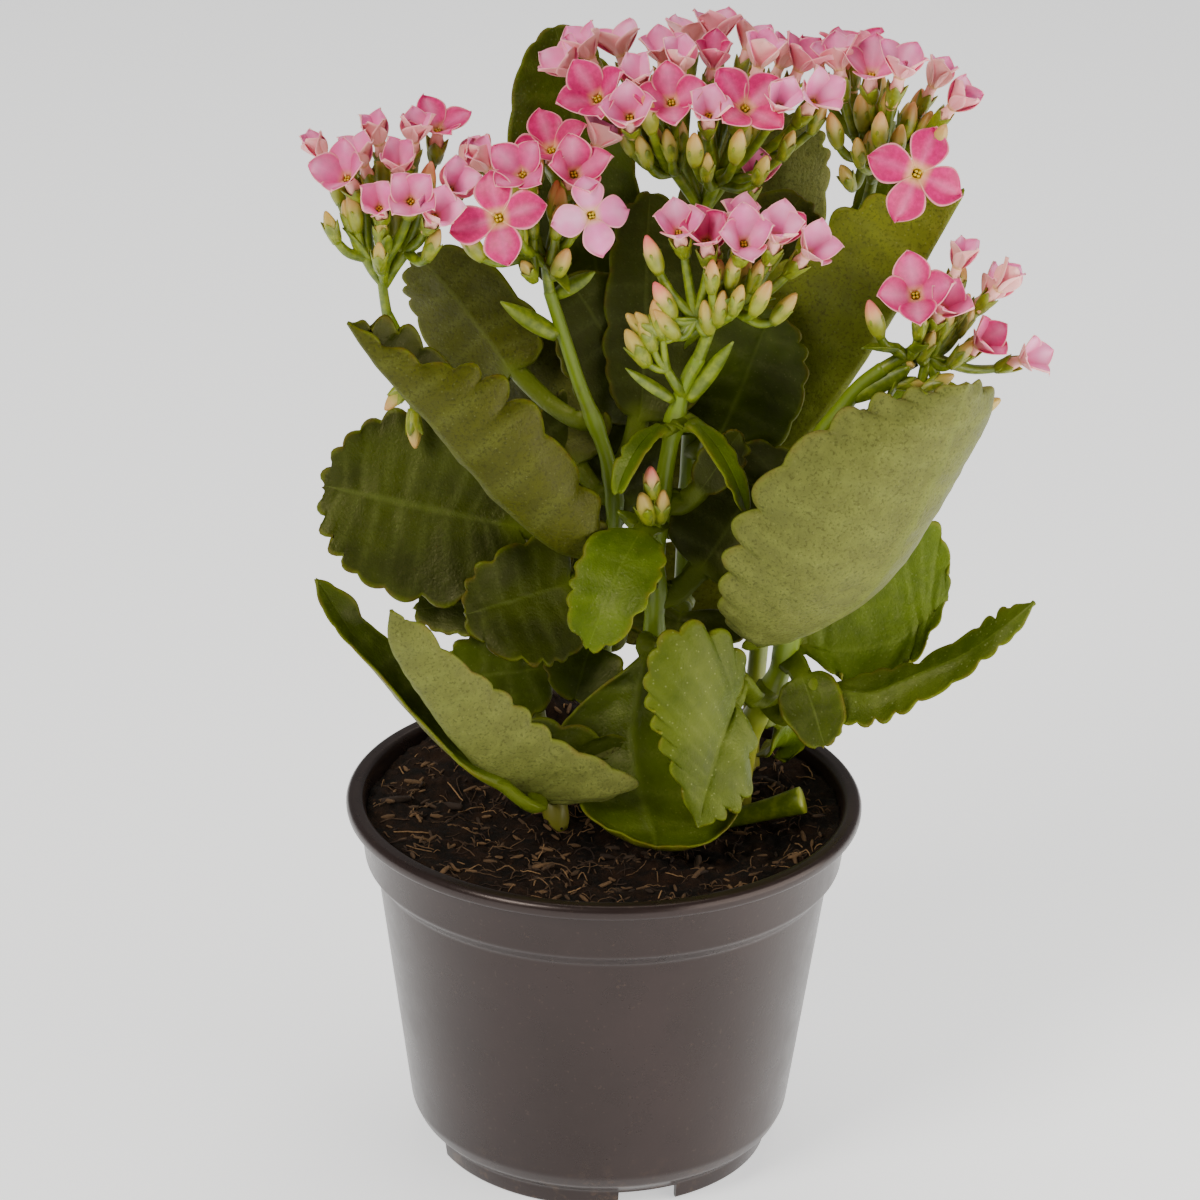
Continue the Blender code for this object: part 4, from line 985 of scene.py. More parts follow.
def make_leaf(name):
    """A leaf from its midrib, half widths, fold and lobes."""
    spec = ALL_LEAVES[name]
    halves, fold, petiole, lobe, widest = spec[4], spec[5], *spec[7:10]
    extra = {"twist": 0.0, "roll": 0.0, "wave": 1.0, "teeth": 1.3, "period": 7.0}
    extra.update(EXTRAS.get(name, {}))
    draw = random.Random(name)
    rib = Midrib(spec)
    stalk = petiole * MM / rib.length
    blade = rib.length * (1.0 - stalk)
    halves = [h * MM for h in halves]
    dense = (1.0 - np.cos(np.linspace(0.0, math.pi, 500))) / 2

    def outline(x, side):
        blunt = PETIOLE_HALF * MM * np.maximum(0.15, 1.0 - 1.1 * x)
        b = np.maximum(halves[side] * blade_width(x, widest), blunt)
        free = np.clip(1.0 - PETIOLE_HALF * MM / np.maximum(b, PETIOLE_HALF * MM), 0.0, 1.0)
        return blade * x - lobe * MM * np.maximum(0.0, 1.0 - x / 0.5) ** 2 * free, b

    lengths = []
    for side in (0, 1):
        a, b = outline(dense, side)
        lengths.append(np.concatenate([[0.0], np.cumsum(np.hypot(np.diff(a), np.diff(b)))]))
    mean = (lengths[0] + lengths[1]) / 2
    rows = max(26, int(mean[-1] / ROW_STEP))
    x = np.interp(np.linspace(0.0, mean[-1], rows), mean, dense)
    x[0], x[-1] = 0.0, 1.0
    m = np.linspace(0.0, 1.0, rows) * 0.55 + x * 0.45
    v = COLUMNS[None, :]
    angle = math.radians(fold)
    halves_done = []
    for side, sign in ((0, -1.0), (1, 1.0)):
        a, b = outline(x, side)
        s = np.interp(x, dense, lengths[side])
        total = lengths[side][-1]
        ta, tb = np.gradient(a), np.gradient(b)
        norm = np.maximum(np.hypot(ta, tb), 1e-9)
        tooth = scallops(s, total, extra["period"] * MM, extra["teeth"] * MM, draw)
        ease, edge = v ** 0.9, v ** 5
        ahead = blade * m[:, None] * (1 - ease) + a[:, None] * ease - (tb / norm * tooth)[:, None] * edge
        aside = np.maximum(b[:, None] * v + (ta / norm * tooth)[:, None] * edge, 0.0)
        wide = ramp(b, 3 * MM, 10 * MM)[:, None]
        wavy = extra["wave"] * MM * np.sin(s / total * 13.0 + draw.uniform(0, 6.3))[:, None] * v ** 2 * wide
        lift = aside * v ** 0.2 * math.sin(angle) + wavy + extra["roll"] * MM * ramp(v, 0.6, 1.0) * wide
        lift = lift + quilted(s[:, None] + 0 * v, aside, draw) * wide
        t = stalk + (1.0 - stalk) * ahead / blade
        look, across = rib.frame(t, extra["twist"])[1:]
        grid = rib.point(t) + across * (sign * aside * math.cos(angle))[..., None] + look * lift[..., None]
        vein = rib_veins(s, extra["period"], COLUMNS) * wide
        halves_done.append([grid, np.broadcast_to(b[:, None], aside.shape), vein])
    grid, width, vein = [
        np.concatenate([left[:, :0:-1], right], axis=1) for left, right in zip(*halves_done)
    ]
    t = np.linspace(0.0, stalk, max(6, int(petiole / 1.5) + 4))[:-1]
    path = np.vstack([rib.point(np.array([0.0])) - rib.away * rib.heel, rib.point(t)])
    finish_leaf(name, spec, petiole_rows(path, rib.look, PETIOLE_HALF * MM), grid, x, width, vein)


def resample(points, rows):
    """Evenly spaced points on the smooth curve through the given ones."""
    curve = spline([at(p) for p in points], 24)
    length = np.concatenate([[0.0], np.cumsum(np.linalg.norm(np.diff(curve, axis=0), axis=1))])
    wanted = np.linspace(0.0, length[-1], rows)
    return np.stack([np.interp(wanted, length, curve[:, k]) for k in range(3)], axis=1), wanted


def draw_leaf(name):
    """A leaf from its midrib and its two margins."""
    spec = ALL_LEAVES[name]
    rib_points, one, other, extra = DRAWN[name]
    draw = random.Random(name)
    rows = max(40, int(max(resample(one, 50)[1][-1], resample(other, 50)[1][-1]) / ROW_STEP))
    rib = resample(rib_points, 400)[0]
    margins = [resample(one, rows), resample(other, rows)]
    look = unit(vec(*spec[3]))
    ahead = unit(rib[-1] - rib[0])
    if np.cross(margins[1][0][rows // 2] - margins[0][0][rows // 2], ahead) @ look < 0:
        margins.reverse()
    places = np.linspace(0.0, 1.0, 400)
    shares = []
    for line, _ in margins:
        near = np.argmin(np.linalg.norm(line[:, None] - rib[None], axis=2), axis=1)
        shares.append(np.maximum.accumulate(places[near]))
    even = np.linspace(0.0, 1.0, rows)
    m = 0.42 * (shares[0] + shares[1]) + 0.16 * even
    m = np.convolve(np.pad(m, 6, mode="edge"), np.ones(13) / 13, mode="valid")
    m = (m - m[0]) / (m[-1] - m[0])
    spine = np.stack([np.interp(m, places, rib[:, k]) for k in range(3)], axis=1)
    forward = unit(np.gradient(rib, axis=0))
    forward = unit(np.stack([np.interp(m, places, forward[:, k]) for k in range(3)], axis=1))
    side_way = np.cross(forward, unit(look - forward * (forward @ look)[:, None]))
    v = COLUMNS[None, :, None]
    halves_done = []
    for (line, s), sign in zip(margins, (-1.0, 1.0)):
        out = line - spine
        size = np.linalg.norm(out, axis=1)
        least = PETIOLE_HALF * MM * np.clip(1.0 - 1.2 * m, 0.12, 1.0)
        line = line + sign * side_way * (np.maximum(0.0, least - size) * (size < least))[:, None]
        out = line - spine
        size = np.linalg.norm(out, axis=1)
        along = unit(np.gradient(line, axis=0))
        outward = out - along * np.sum(out * along, axis=1)[:, None]
        outward = outward / np.maximum(np.linalg.norm(outward, axis=1), 1e-6)[:, None]
        tooth = scallops(s, s[-1], extra["period"] * MM, extra["teeth"] * MM, draw)
        tooth = tooth * ramp(size, 1 * MM, 6 * MM)
        grid = spine[:, None] * (1 - v) + line[:, None] * v + (outward * tooth[:, None])[:, None] * v ** 5
        width = np.broadcast_to(size[:, None], grid.shape[:2])
        vein = rib_veins(s, extra["period"], COLUMNS) * ramp(size, 2 * MM, 8 * MM)[:, None]
        halves_done.append([grid, width, vein])
    grid, width, vein = [
        np.concatenate([left[:, :0:-1], right], axis=1) for left, right in zip(*halves_done)
    ]
    w = np.concatenate([-COLUMNS[:0:-1], COLUMNS])[None, :]
    swell = extra["bulge"] * width * 4 * np.abs(w) * (1 - np.abs(w)) * ramp(width, 2 * MM, 8 * MM)
    s = margins[0][1][:, None] + 0 * w
    swell = swell + quilted(s, w * width, draw) * ramp(width, 3 * MM, 10 * MM)
    wavy = 0.7 * MM * np.sin(s / s.max() * 15.0 + np.sign(w) * 1.3) * w ** 2 * ramp(width, 3 * MM, 10 * MM)
    grid = grid + grid_normals(grid) * (swell + wavy)[..., None]
    centre, up, radius = on_stem(spec[0], spec[1])
    base = spine[0]
    away = base - centre
    away = unit(away - up * (away @ up))
    span = np.linalg.norm(base - centre)
    start = centre + away * radius * 0.4
    path = spline([start, start + away * span * 0.3, base - forward[0] * span * 0.25, base], 6)[:-1]
    finish_leaf(name, spec, petiole_rows(path, look, PETIOLE_HALF * MM), grid, m, width, vein)


for leaf in ALL_LEAVES:
    if leaf in DRAWN:
        draw_leaf(leaf)
    else:
        make_leaf(leaf)


# -------------------------------------------------------------------- flowers
def lance(shape, base, direction, outward, length, half, curve, thick=0.45, rows=9, **values):
    """A narrow fleshy pointed blade, such as a sepal or a bract."""
    direction = unit(direction)
    outward = unit(outward - direction * outward.dot(direction))
    across = np.cross(direction, -outward)
    s = np.linspace(0.0, 1.0, rows)
    rise = curve * np.sin(s * math.pi * 0.5) ** 2
    centre = base + direction * (s[:, None] * length) + outward * rise[:, None]
    width = half * np.maximum(0.08, np.sin(np.pi * (0.22 + 0.78 * s)) ** 0.8)
    v = np.linspace(-1.0, 1.0, 5)
    grid = centre[:, None] + across[None, None] * (v[None, :] * width[:, None])[..., None]
    grid = grid - outward[None, None] * (v[None, :] ** 2 * width[:, None] * 0.45)[..., None]
    body = thick * half * np.sqrt(1.0 - 0.9 * v ** 2)[None, :] * np.maximum(0.2, 1.0 - s[:, None] ** 2)
    shape.sheet(
        grid, np.broadcast_to(-outward, grid.shape), body, 0.05 * MM,
        tip=s[:, None], **{k: float(x) for k, x in values.items()},
    )


def calyx(shape, base, direction, size, spin, spread=0.10, pale=0.2):
    """Four plump sepals that wrap the foot of a flower or bud."""
    d, one, two = basis(direction)
    for k in range(4):
        turn = spin + k * math.tau / 4
        out = one * math.cos(turn) + two * math.sin(turn)
        lance(
            shape, base + out * 0.0009 * size - d * 0.0006 * size, d + out * spread,
            out, 0.0078 * size, 0.0021 * size, 0.0011 * size, 0.34, pale=pale,
        )
    s = np.linspace(0.0, 1.0, 7)
    path = base + d * ((s[:, None] * 5.6 - 1.0) * MM * size)
    shape.tube(path, MM * size * np.array([0.8, 1.35, 1.75, 1.9, 1.8, 1.5, 1.0]), 12, pale=pale)


def petal_shape(s):
    """Half width of a petal along its length: a narrow foot and a blunt point."""
    rise = 0.26 + 0.74 * (1.0 - (1.0 - np.minimum(s / 0.58, 1.0)) ** 2)
    fall = np.clip(1.0 - (np.maximum(s - 0.52, 0.0) / 0.48) ** 1.9, 0.0, 1.0) ** 0.92
    return np.maximum(rise * fall, 0.03)


def corolla(shape, throat, direction, size, openness, shade, draw):
    """A tube and four broad pointed petals that open from a cup to a flat cross."""
    d, one, two = basis(direction)
    spin = draw.uniform(0, math.tau)
    size = size * MM * 1.06
    path = [throat + d * size * h for h in (-8.5, -7.0, -5.0, -3.0, -1.2, -0.2, 0.15, -0.2, -1.4, -2.0)]
    radii = [size * r for r in (0.9, 1.45, 1.75, 1.6, 1.25, 1.35, 1.15, 0.85, 0.62, 0.35)]
    turn = np.linspace(0, math.tau, 14, endpoint=False)
    rings = np.array([
        p + r * (np.cos(turn)[:, None] * one + np.sin(turn)[:, None] * two) for p, r in zip(path, radii)
    ])
    inside = np.array([0, 0, 0, 0, 0, 0.1, 0.6, 1.0, 1.0, 1.0])[:, None]
    along = np.array([0.0, 0.0, 0.0, 0.1, 0.2, 0.2, 0.05, 0, 0, 0])[:, None]
    shape.loops(rings, shade=shade * 0.3, along=along, throat=inside, upper=0.0, edge=0.0)
    rows, cols = 15, 11
    s = np.linspace(0.0, 1.0, rows)
    v = np.linspace(-1.0, 1.0, cols)
    for k in range(4):
        angle = spin + k * math.tau / 4 + draw.uniform(-0.08, 0.08)
        out = one * math.cos(angle) + two * math.sin(angle)
        side = np.cross(out, d)
        length = size * 8.2 * draw.uniform(0.94, 1.04)
        rise = math.radians(86.0 - 74.0 * openness ** 1.4 + draw.uniform(-7, 7))
        bend = math.radians(-8.0 - 26.0 * openness ** 0.7 + draw.uniform(-8, 8))
        tilt = rise + bend * s
        step = length / (rows - 1)
        reach = np.concatenate([[0.0], np.cumsum(np.cos(tilt[1:]) * step)])
        climb = np.concatenate([[0.0], np.cumsum(np.sin(tilt[1:]) * step)])
        centre = throat + out * (reach + size * 0.95)[:, None] + d * (climb - size * 0.1)[:, None]
        face = d * np.cos(tilt)[:, None] - out * np.sin(tilt)[:, None]
        width = size * 4.0 * petal_shape(s)
        cup = 0.42 - 0.22 * openness
        across = v[None] * width[:, None] * (1 - 0.10 * v[None] ** 2)
        hollow = cup * v[None] ** 2 * width[:, None] * (1.0 - 0.5 * s[:, None])
        grid = centre[:, None] + side[None, None] * across[..., None] + face[:, None] * hollow[..., None]
        twist = size * 0.7 * draw.uniform(-1, 1)
        ripple = size * 0.25 * np.sin(v[None] * 4.0 + draw.uniform(0, 6.3)) * s[:, None]
        grid = grid + face[:, None] * (twist * v[None] * s[:, None] + ripple)[..., None]
        half = size * 0.24 * (1.0 - 0.5 * np.abs(v[None])) * (1.0 - 0.5 * s[:, None])
        edge = np.maximum(np.abs(v)[None] + 0 * s[:, None], ramp(s, 0.80, 1.0)[:, None])
        shape.sheet(
            grid, grid_normals(grid), half, 0.06 * MM,
            along=s[:, None], edge=edge, shade=shade, throat=0.0,
        )
    for k in range(4):
        angle = spin + (k + 0.5) * math.tau / 4
        out = one * math.cos(angle) + two * math.sin(angle)
        tip = throat + d * size * 0.25 + out * size * 0.45
        shape.tube([tip - d * size * 1.2, tip], [size * 0.12, size * 0.30], 6, throat=1.0)


def bud(shape, tip, direction, size, ripe):
    """A closed bud: a plump spindle whose wrapped petals twist to a point."""
    d, one, two = basis(direction)
    length = 0.0108 * size
    radius = 0.00235 * size
    s = np.linspace(0.0, 1.0, 14)
    turn = np.linspace(0, math.tau, 20, endpoint=False)
    profile = radius * (np.sin(np.pi * (0.16 + 0.82 * s ** 0.9)) ** 0.62)
    rings = []
    for h, r in zip(s, profile):
        lobes = 1.0 + 0.09 * np.cos(4 * turn + 2.5 * h) * h
        rings.append(tip + d * (h - 1.0) * length + (r * lobes)[:, None] * (
            np.cos(turn)[:, None] * one + np.sin(turn)[:, None] * two))
    shape.loops(
        rings, tip=s[:, None], ripe=(0.25 + 0.75 * ripe) * ramp(s, 0.35, 0.75)[:, None],
        pale=0.3 + 0.5 * ramp(s, 0.4, 1.0)[:, None],
    )
    return tip - d * length


def branch(shape, start, middle, end, thick, thin, **values):
    """A bowed round stalk that tapers from thick to thin."""
    path = spline([start, middle, end], 5)
    radii = np.linspace(thick, thin, len(path))
    shape.tube(path, radii, 9, **values)


# Heads: size of the flowers against their CAD node, size of the further ones,
# how far a half-open flower opens, and the share from which one lies open.
NODE_FLOWER = 1.06
FURTHER_FLOWER = 1.14
HALF_OPEN = 0.70
WIDE_OPEN = 0.93

# Green buds that fill the gaps of each head.
FILL = {
    "flower_stalk_left": 6, "flower_stalk_mid_left": 7, "flower_stalk_back": 10,
    "flower_stalk_back_right": 8, "flower_stalk_centre": 5, "flower_stalk_right": 6,
}


def make_cyme(name):
    """A flower head: forked stalks, calyces, buds and flowers."""
    stem, hub = CYMES[name]
    draw = random.Random(name)
    line = stem_line(stem, 8)
    top = at(hub)
    thick = stem_radius(STEMS[stem][0], 1.0)
    green = Shape("tip", "pale", "ripe")
    up = unit(line[-1] - line[-3])
    green.tube(spline([line[-1] - up * 0.004, line[-1], top], 6), np.linspace(thick, thick * 0.8, 13), 14)
    heads = []
    more = Shape("upper", "along", "edge", "shade", "throat")
    opened = []
    for flower, spec in FLOWERS.items():
        if spec[0] == name:
            throat, look, size, openness, shade = spec[1:]
            look = unit(vec(*look) + vec(0, -0.18, 0))
            own = Shape("upper", "along", "edge", "shade", "throat")
            opens = openness if openness >= WIDE_OPEN else openness * HALF_OPEN
            corolla(own, at(throat), look, size * NODE_FLOWER, opens, shade, draw)
            slot = "petal_hot_pink" if shade > 0.75 else "petal_pink" if shade > 0.35 else "petal_pale"
            piece("bloom_" + flower[7:], own.mesh(flower), PETAL_SKIN, slot, flower)
            opened.append((at(throat), look, size))
    for throat, look, size, openness, shade in MORE_FLOWERS[name]:
        look = unit(vec(*look) + vec(0, -0.12, 0))
        corolla(more, at(throat), look, size * FURTHER_FLOWER, openness * HALF_OPEN, shade, draw)
        opened.append((at(throat), look, size))
    piece("bloom_more_" + name[13:], more.mesh(name + "_more"), PETAL_SKIN, "petal_pink")
    for throat, look, size in opened:
        heads.append((throat - look * 0.0088 * size, look, size, 0.15))
    buds = [(at(tip), ripe) for tip, ripe in BUDS[name]]
    for _ in range(FILL[name]):
        one, other = draw.sample(opened, 2)
        tip = one[0] * 0.5 + other[0] * 0.5
        depth = draw.uniform(0.72, 0.90)
        shift = vec(draw.uniform(-2, 2), draw.uniform(-2, 2), 0) * MM
        tip = top + (tip - top) * depth + shift
        buds.append((tip, draw.uniform(0.0, 0.35)))
    for tip, ripe in buds:
        size = draw.uniform(0.82, 1.0) * (0.80 + 0.20 * ripe)
        look = unit(unit(tip - top) + vec(0, 0, 0.9))
        foot = bud(green, tip, look, size, ripe)
        heads.append((foot, look, size * 0.88, 0.1))
    groups = {}
    for head in heads:
        out = head[0] - top
        turn = math.atan2(out[1], out[0])
        groups.setdefault(int((turn + math.pi) / math.tau * 4.999), []).append(head)
    for members in groups.values():
        middle = np.mean([h[0] for h in members], axis=0)
        fork = top + (middle - top) * 0.50 + vec(0, 0, -0.0010)
        knee = top + (fork - top) * 0.5 + vec(0, 0, -0.0008)
        branch(green, top - up * 0.002, knee, fork, thick * 0.68, 0.00150)
        way = unit(fork - top)
        lance(green, fork - way * 0.001, way + vec(0, 0, -0.3), vec(0, 0, -1.0) + way, 0.010, 0.0018, -0.001)
        for foot, look, size, pale in members:
            span = foot - fork
            knee = fork + span * 0.55 - vec(0, 0, 0.0010)
            knee = knee * 0.8 + (foot - look * np.linalg.norm(span) * 0.4) * 0.2
            branch(green, fork, knee, foot, 0.00135, 0.00095)
            calyx(green, foot, look, max(0.72, size), draw.uniform(0, 1.5), pale=pale)
    piece("stalk_" + name[13:], green.mesh(name), FRESH_SKIN, "calyx_green", name)


for cyme in CYMES:
    make_cyme(cyme)


# ------------------------------------------------------------------------ pot
RIM = 60.0
HEIGHT = 87.5
BASE = 44.8
WALL = 1.4
CREASE = 40.0

# Notches of the foot ring: number, first angle in degrees, box in metres.
NOTCHES = 4
NOTCH_ANGLE = -73.0
NOTCH_BOX = (0.014, 0.012, 0.0078)

# Drain holes of the floor: number, and measures in metres.
DRAINS = 8
DRAIN_RADIUS = 0.0035
DRAIN_CIRCLE = 0.02685
DRAIN_LEVEL = 0.0052
DRAIN_DEPTH = 0.0042


def lathe(profile, turns):
    """A closed skin of (radius, height) pairs in millimetres, turned about Z."""
    profile = np.array(profile) * MM
    turn = np.linspace(0, math.tau, turns, endpoint=False)
    work = bmesh.new()
    rings = []
    for r, z in profile:
        if r < 1e-7:
            rings.append([work.verts.new((0, 0, z))])
        else:
            rings.append([work.verts.new((r * math.cos(a), r * math.sin(a), z)) for a in turn])
    for low, high in zip(rings, rings[1:]):
        for k in range(turns):
            n = (k + 1) % turns
            if len(low) == 1:
                work.faces.new((low[0], high[k], high[n]))
            elif len(high) == 1:
                work.faces.new((low[k], high[0], low[n]))
            else:
                work.faces.new((low[k], high[k], high[n], low[n]))
    bmesh.ops.recalc_face_normals(work, faces=work.faces)
    mesh = bpy.data.meshes.new("turned")
    work.to_mesh(mesh)
    work.free()
    return mesh


def rounded(profile, radius=0.5, steps=3):
    """The profile with its corners rounded."""
    profile = [np.array(p, float) for p in profile]
    found = [profile[0]]
    for before, corner, after in zip(profile, profile[1:], profile[2:]):
        a, b = before - corner, after - corner
        la, lb = np.linalg.norm(a), np.linalg.norm(b)
        r = min(radius, 0.45 * la, 0.45 * lb)
        start, end = corner + a / la * r, corner + b / lb * r
        for k in range(steps + 1):
            t = k / steps
            found.append(start * (1 - t) ** 2 + corner * 2 * t * (1 - t) + end * t * t)
    found.append(profile[-1])
    return found


def make_pot():
    """The pot, turned from its profile and cut by its notches and drain holes."""
    collar, top, ledge, low, foot = 57.0, 52.8, 71.9, 10.0, 40.6
    profile = [
        (0, WALL), (10.6, WALL), (13.6, 5.9), (foot - 1.6, 5.9),
        (BASE - WALL - 0.4, low + 0.6), (top - WALL, ledge - 1.6), (collar - 2.2 - WALL, ledge + WALL),
        (collar - WALL, HEIGHT - 1.2), (collar - WALL + 0.9, HEIGHT),
        (RIM - 0.9, HEIGHT), (RIM, HEIGHT - 1.2), (RIM - 0.2, HEIGHT - 3.2), (collar, HEIGHT - 3.9),
        (collar - 1.4, ledge + 1.0), (collar - 2.2, ledge), (top, ledge - 2.2),
        (BASE, low), (BASE - 1.4, low - 3.0), (foot, 4.5), (foot - 0.6, 0.0),
        (foot - 0.6 - WALL, 0.0), (foot - 0.4 - WALL, 4.5), (14.5, 4.5), (11.5, 0.0), (0, 0),
    ]
    mesh = lathe(rounded(profile, 0.7, 3), 160)
    pot = bpy.data.objects.new("pot_blank", mesh)
    shown.objects.link(pot)
    tool = bmesh.new()
    for k in range(NOTCHES):
        turn = Matrix.Rotation(math.radians(NOTCH_ANGLE + 360.0 / NOTCHES * k), 4, "Z")
        size = Matrix.Diagonal((*NOTCH_BOX, 1.0))
        bmesh.ops.create_cube(tool, size=1.0, matrix=turn @ Matrix.Translation((0, -foot * MM, 0)) @ size)
    for k in range(DRAINS):
        turn = Matrix.Rotation((k + 0.5) * math.tau / DRAINS, 4, "Z")
        bmesh.ops.create_cone(
            tool, cap_ends=True, segments=28,
            radius1=DRAIN_RADIUS, radius2=DRAIN_RADIUS, depth=DRAIN_DEPTH,
            matrix=turn @ Matrix.Translation((DRAIN_CIRCLE, 0, DRAIN_LEVEL)),
        )
    cut = bpy.data.meshes.new("pot_cuts")
    tool.to_mesh(cut)
    tool.free()
    cutter = bpy.data.objects.new("pot_cuts", cut)
    shown.objects.link(cutter)
    modifier = pot.modifiers.new("Cut", "BOOLEAN")
    modifier.operation = "DIFFERENCE"
    modifier.solver = "EXACT"
    modifier.object = cutter
    bpy.context.view_layer.update()
    seen = bpy.context.evaluated_depsgraph_get()
    done = bpy.data.meshes.new_from_object(pot.evaluated_get(seen), depsgraph=seen)
    bpy.data.objects.remove(pot, do_unlink=True)
    bpy.data.objects.remove(cutter, do_unlink=True)
    piece("pot_shell", done, pot_material(), "pot_plastic", "nursery_pot")
    done.set_sharp_from_angle(angle=math.radians(CREASE))


make_pot()


# ----------------------------------------------------------------------- soil
# Millimetres. The bed's sides are (radius, height) pairs under its top.
SOIL_RADIUS = 55.0
SOIL_SIDES = ((54.6, -8.0), (51.0, -12.0), (50.8, -20.0), (42.9, -70.0), (38.6, -74.7))
HEAP_HEIGHT = 15.0
HEAP_PLACE = (-16.8, 37.8)
HEAP_WIDTH = (15.0, 11.5)

# Litter: how many pieces, and how far from the axis they lie.
FIBRES = 760
FIBRE_REACH = 53.5
FIBRE_EDGE = 54.0
CHIPS = 420
CHIP_REACH = 52.0
LARGE_CHIPS = 12


def soil_top(x, y):
    """Height of the soil above its level in millimetres."""
    r = np.hypot(x, y) / RIM
    away = ((x - HEAP_PLACE[0]) / HEAP_WIDTH[0]) ** 2 + ((y - HEAP_PLACE[1]) / HEAP_WIDTH[1]) ** 2
    mound = HEAP_HEIGHT * np.exp(-away)
    lumps = 1.0 * lattice_noise(x, y, 9.0, 1) + 0.9 * lattice_noise(x, y, 3.8, 2)
    lumps = lumps + 0.65 * lattice_noise(x, y, 1.7, 3) + 0.35 * lattice_noise(x, y, 0.8, 4)
    return mound + lumps * (1.0 - 0.4 * r ** 4) - 0.6 + 3.0 * ramp(r, 0.45, 0.90)


def make_soil():
    """The bed: a lumpy top and sides that follow the pot's inner face."""
    rings, turns = 96, 300
    radii = SOIL_RADIUS * np.linspace(0.0, 1.0, rings) ** 0.85
    turn = np.linspace(0, math.tau, turns, endpoint=False)
    x = radii[1:, None] * np.cos(turn)[None]
    y = radii[1:, None] * np.sin(turn)[None]
    z = soil_top(x, y)
    grid = np.stack([x * MM, y * MM, SOIL_LEVEL + z * MM], axis=-1)
    side = []
    for r, h in SOIL_SIDES:
        level = np.full(turns, SOIL_LEVEL + h * MM)
        side.append(np.stack([r * MM * np.cos(turn), r * MM * np.sin(turn), level], axis=-1))
    skin = np.concatenate([grid, np.array(side)])[::-1]
    shape = Shape()
    shape.loops(skin)
    piece("soil_bed", shape.mesh("soil"), soil_material(), "potting_soil", "potting_soil")


def make_litter():
    """Peat fibres and bark chips strewn over the soil."""
    draw = random.Random(7)
    fibres = Shape("tint")
    for _ in range(FIBRES):
        angle = draw.uniform(0, math.tau)
        r = FIBRE_REACH * math.sqrt(draw.random())
        x, y = r * math.cos(angle), r * math.sin(angle)
        heading = draw.uniform(0, math.tau)
        length = draw.choice((1.6, 2.5, 4.0, 6.5)) * draw.uniform(0.7, 1.3)
        bend = draw.uniform(-1.2, 1.2)
        lift = draw.uniform(0.0, 1.6) if draw.random() < 0.25 else draw.uniform(0.0, 0.5)
        path = []
        for k in range(6):
            h = heading + bend * (k / 5 - 0.5)
            ground = soil_top(np.array(x), np.array(y))
            path.append((x, y, ground + 0.15 + lift * math.sin(k / 5 * math.pi)))
            x += math.cos(h) * length / 5
            y += math.sin(h) * length / 5
        path = np.array(path, float)
        if np.hypot(path[:, 0], path[:, 1]).max() > FIBRE_EDGE:
            continue
        fibres.tube([at(p) for p in path], draw.uniform(0.06, 0.17) * MM, 5, tint=draw.random() ** 2.6)
    peat = litter_material("peat_fibre", srgb(48, 31, 18), srgb(158, 122, 82))
    piece("soil_fibres", fibres.mesh("fibres"), peat, "potting_soil")
    chips = Shape("tint")
    for k in range(CHIPS):
        angle = draw.uniform(0, math.tau)
        r = CHIP_REACH * math.sqrt(draw.random())
        x, y = r * math.cos(angle), r * math.sin(angle)
        size = draw.uniform(0.5, 1.7) if k > LARGE_CHIPS else draw.uniform(2.0, 3.6)
        z = float(soil_top(np.array(x), np.array(y)))
        heading = draw.uniform(0, math.tau)
        d = vec(math.cos(heading), math.sin(heading), draw.uniform(-0.2, 0.3))
        middle = at((x, y, z + 0.2))
        path = [middle - d * size * MM, middle, middle + d * size * MM]
        radii = np.array([0.45, draw.uniform(0.5, 0.8), 0.4]) * size * 0.55 * MM
        chips.tube(path, radii, 6, tint=draw.random())
    bark = litter_material("bark_chip", srgb(38, 24, 13), srgb(112, 84, 54))
    piece("soil_chips", chips.mesh("chips"), bark, "potting_soil")


make_soil()
make_litter()


def make_stub():
    """The stub of a cut leaf stalk, wider at its flat end."""
    path = spline([at(p) for p in ((28, -3.4, 1.2), (38, -5.2, 5.0), (46, -6, 8.0))], 6)
    share = np.linspace(0.0, 1.0, len(path))
    radii = (2.1 + 1.3 * share ** 1.6) * MM
    radii[-1] *= 0.93
    shape = Shape("tip", "pale", "ripe")
    shape.tube(path, radii, 18, False, pale=0.25 * ramp(share, 0.92, 1.0))
    piece("cut_stub", shape.mesh("stub"), FRESH_SKIN, "stem_green", "cut_leaf_stub")


# Short side stalks: root, then the tips of their buds with ripeness.
SPRIGS = [
    ((11, -4, 74), [((9, -12, 92), 0.9), ((7, -13, 86), 0.0), ((12, -11, 86), 0.1), ((8, -9, 84), 0.0)]),
    ((-45, 9, 108), [((-51, 8, 97), 0.2), ((-44, 5, 89), 0.1)]),
    ((16, -6, 107), [((6, -12, 127), 0.0), ((9, -12, 131), 0.2), ((3, -12, 124), 0.0)]),
]

# Bracts: root, tip and half width.
BRACTS = [
    ((-12, 1, 118), (-24, -3, 127), 2.2),
    ((17, -7, 106), (26, -12, 121), 1.9), ((14, -7, 106), (4, -12, 115), 1.4),
    ((53, -3, 106), (65, -8, 115), 2.6), ((-13, 2, 127), (-5, -3, 134), 1.8),
    ((19, 24, 132), (28, 16, 141), 2.0), ((11, -3, 72), (3, -9, 80), 2.0),
]


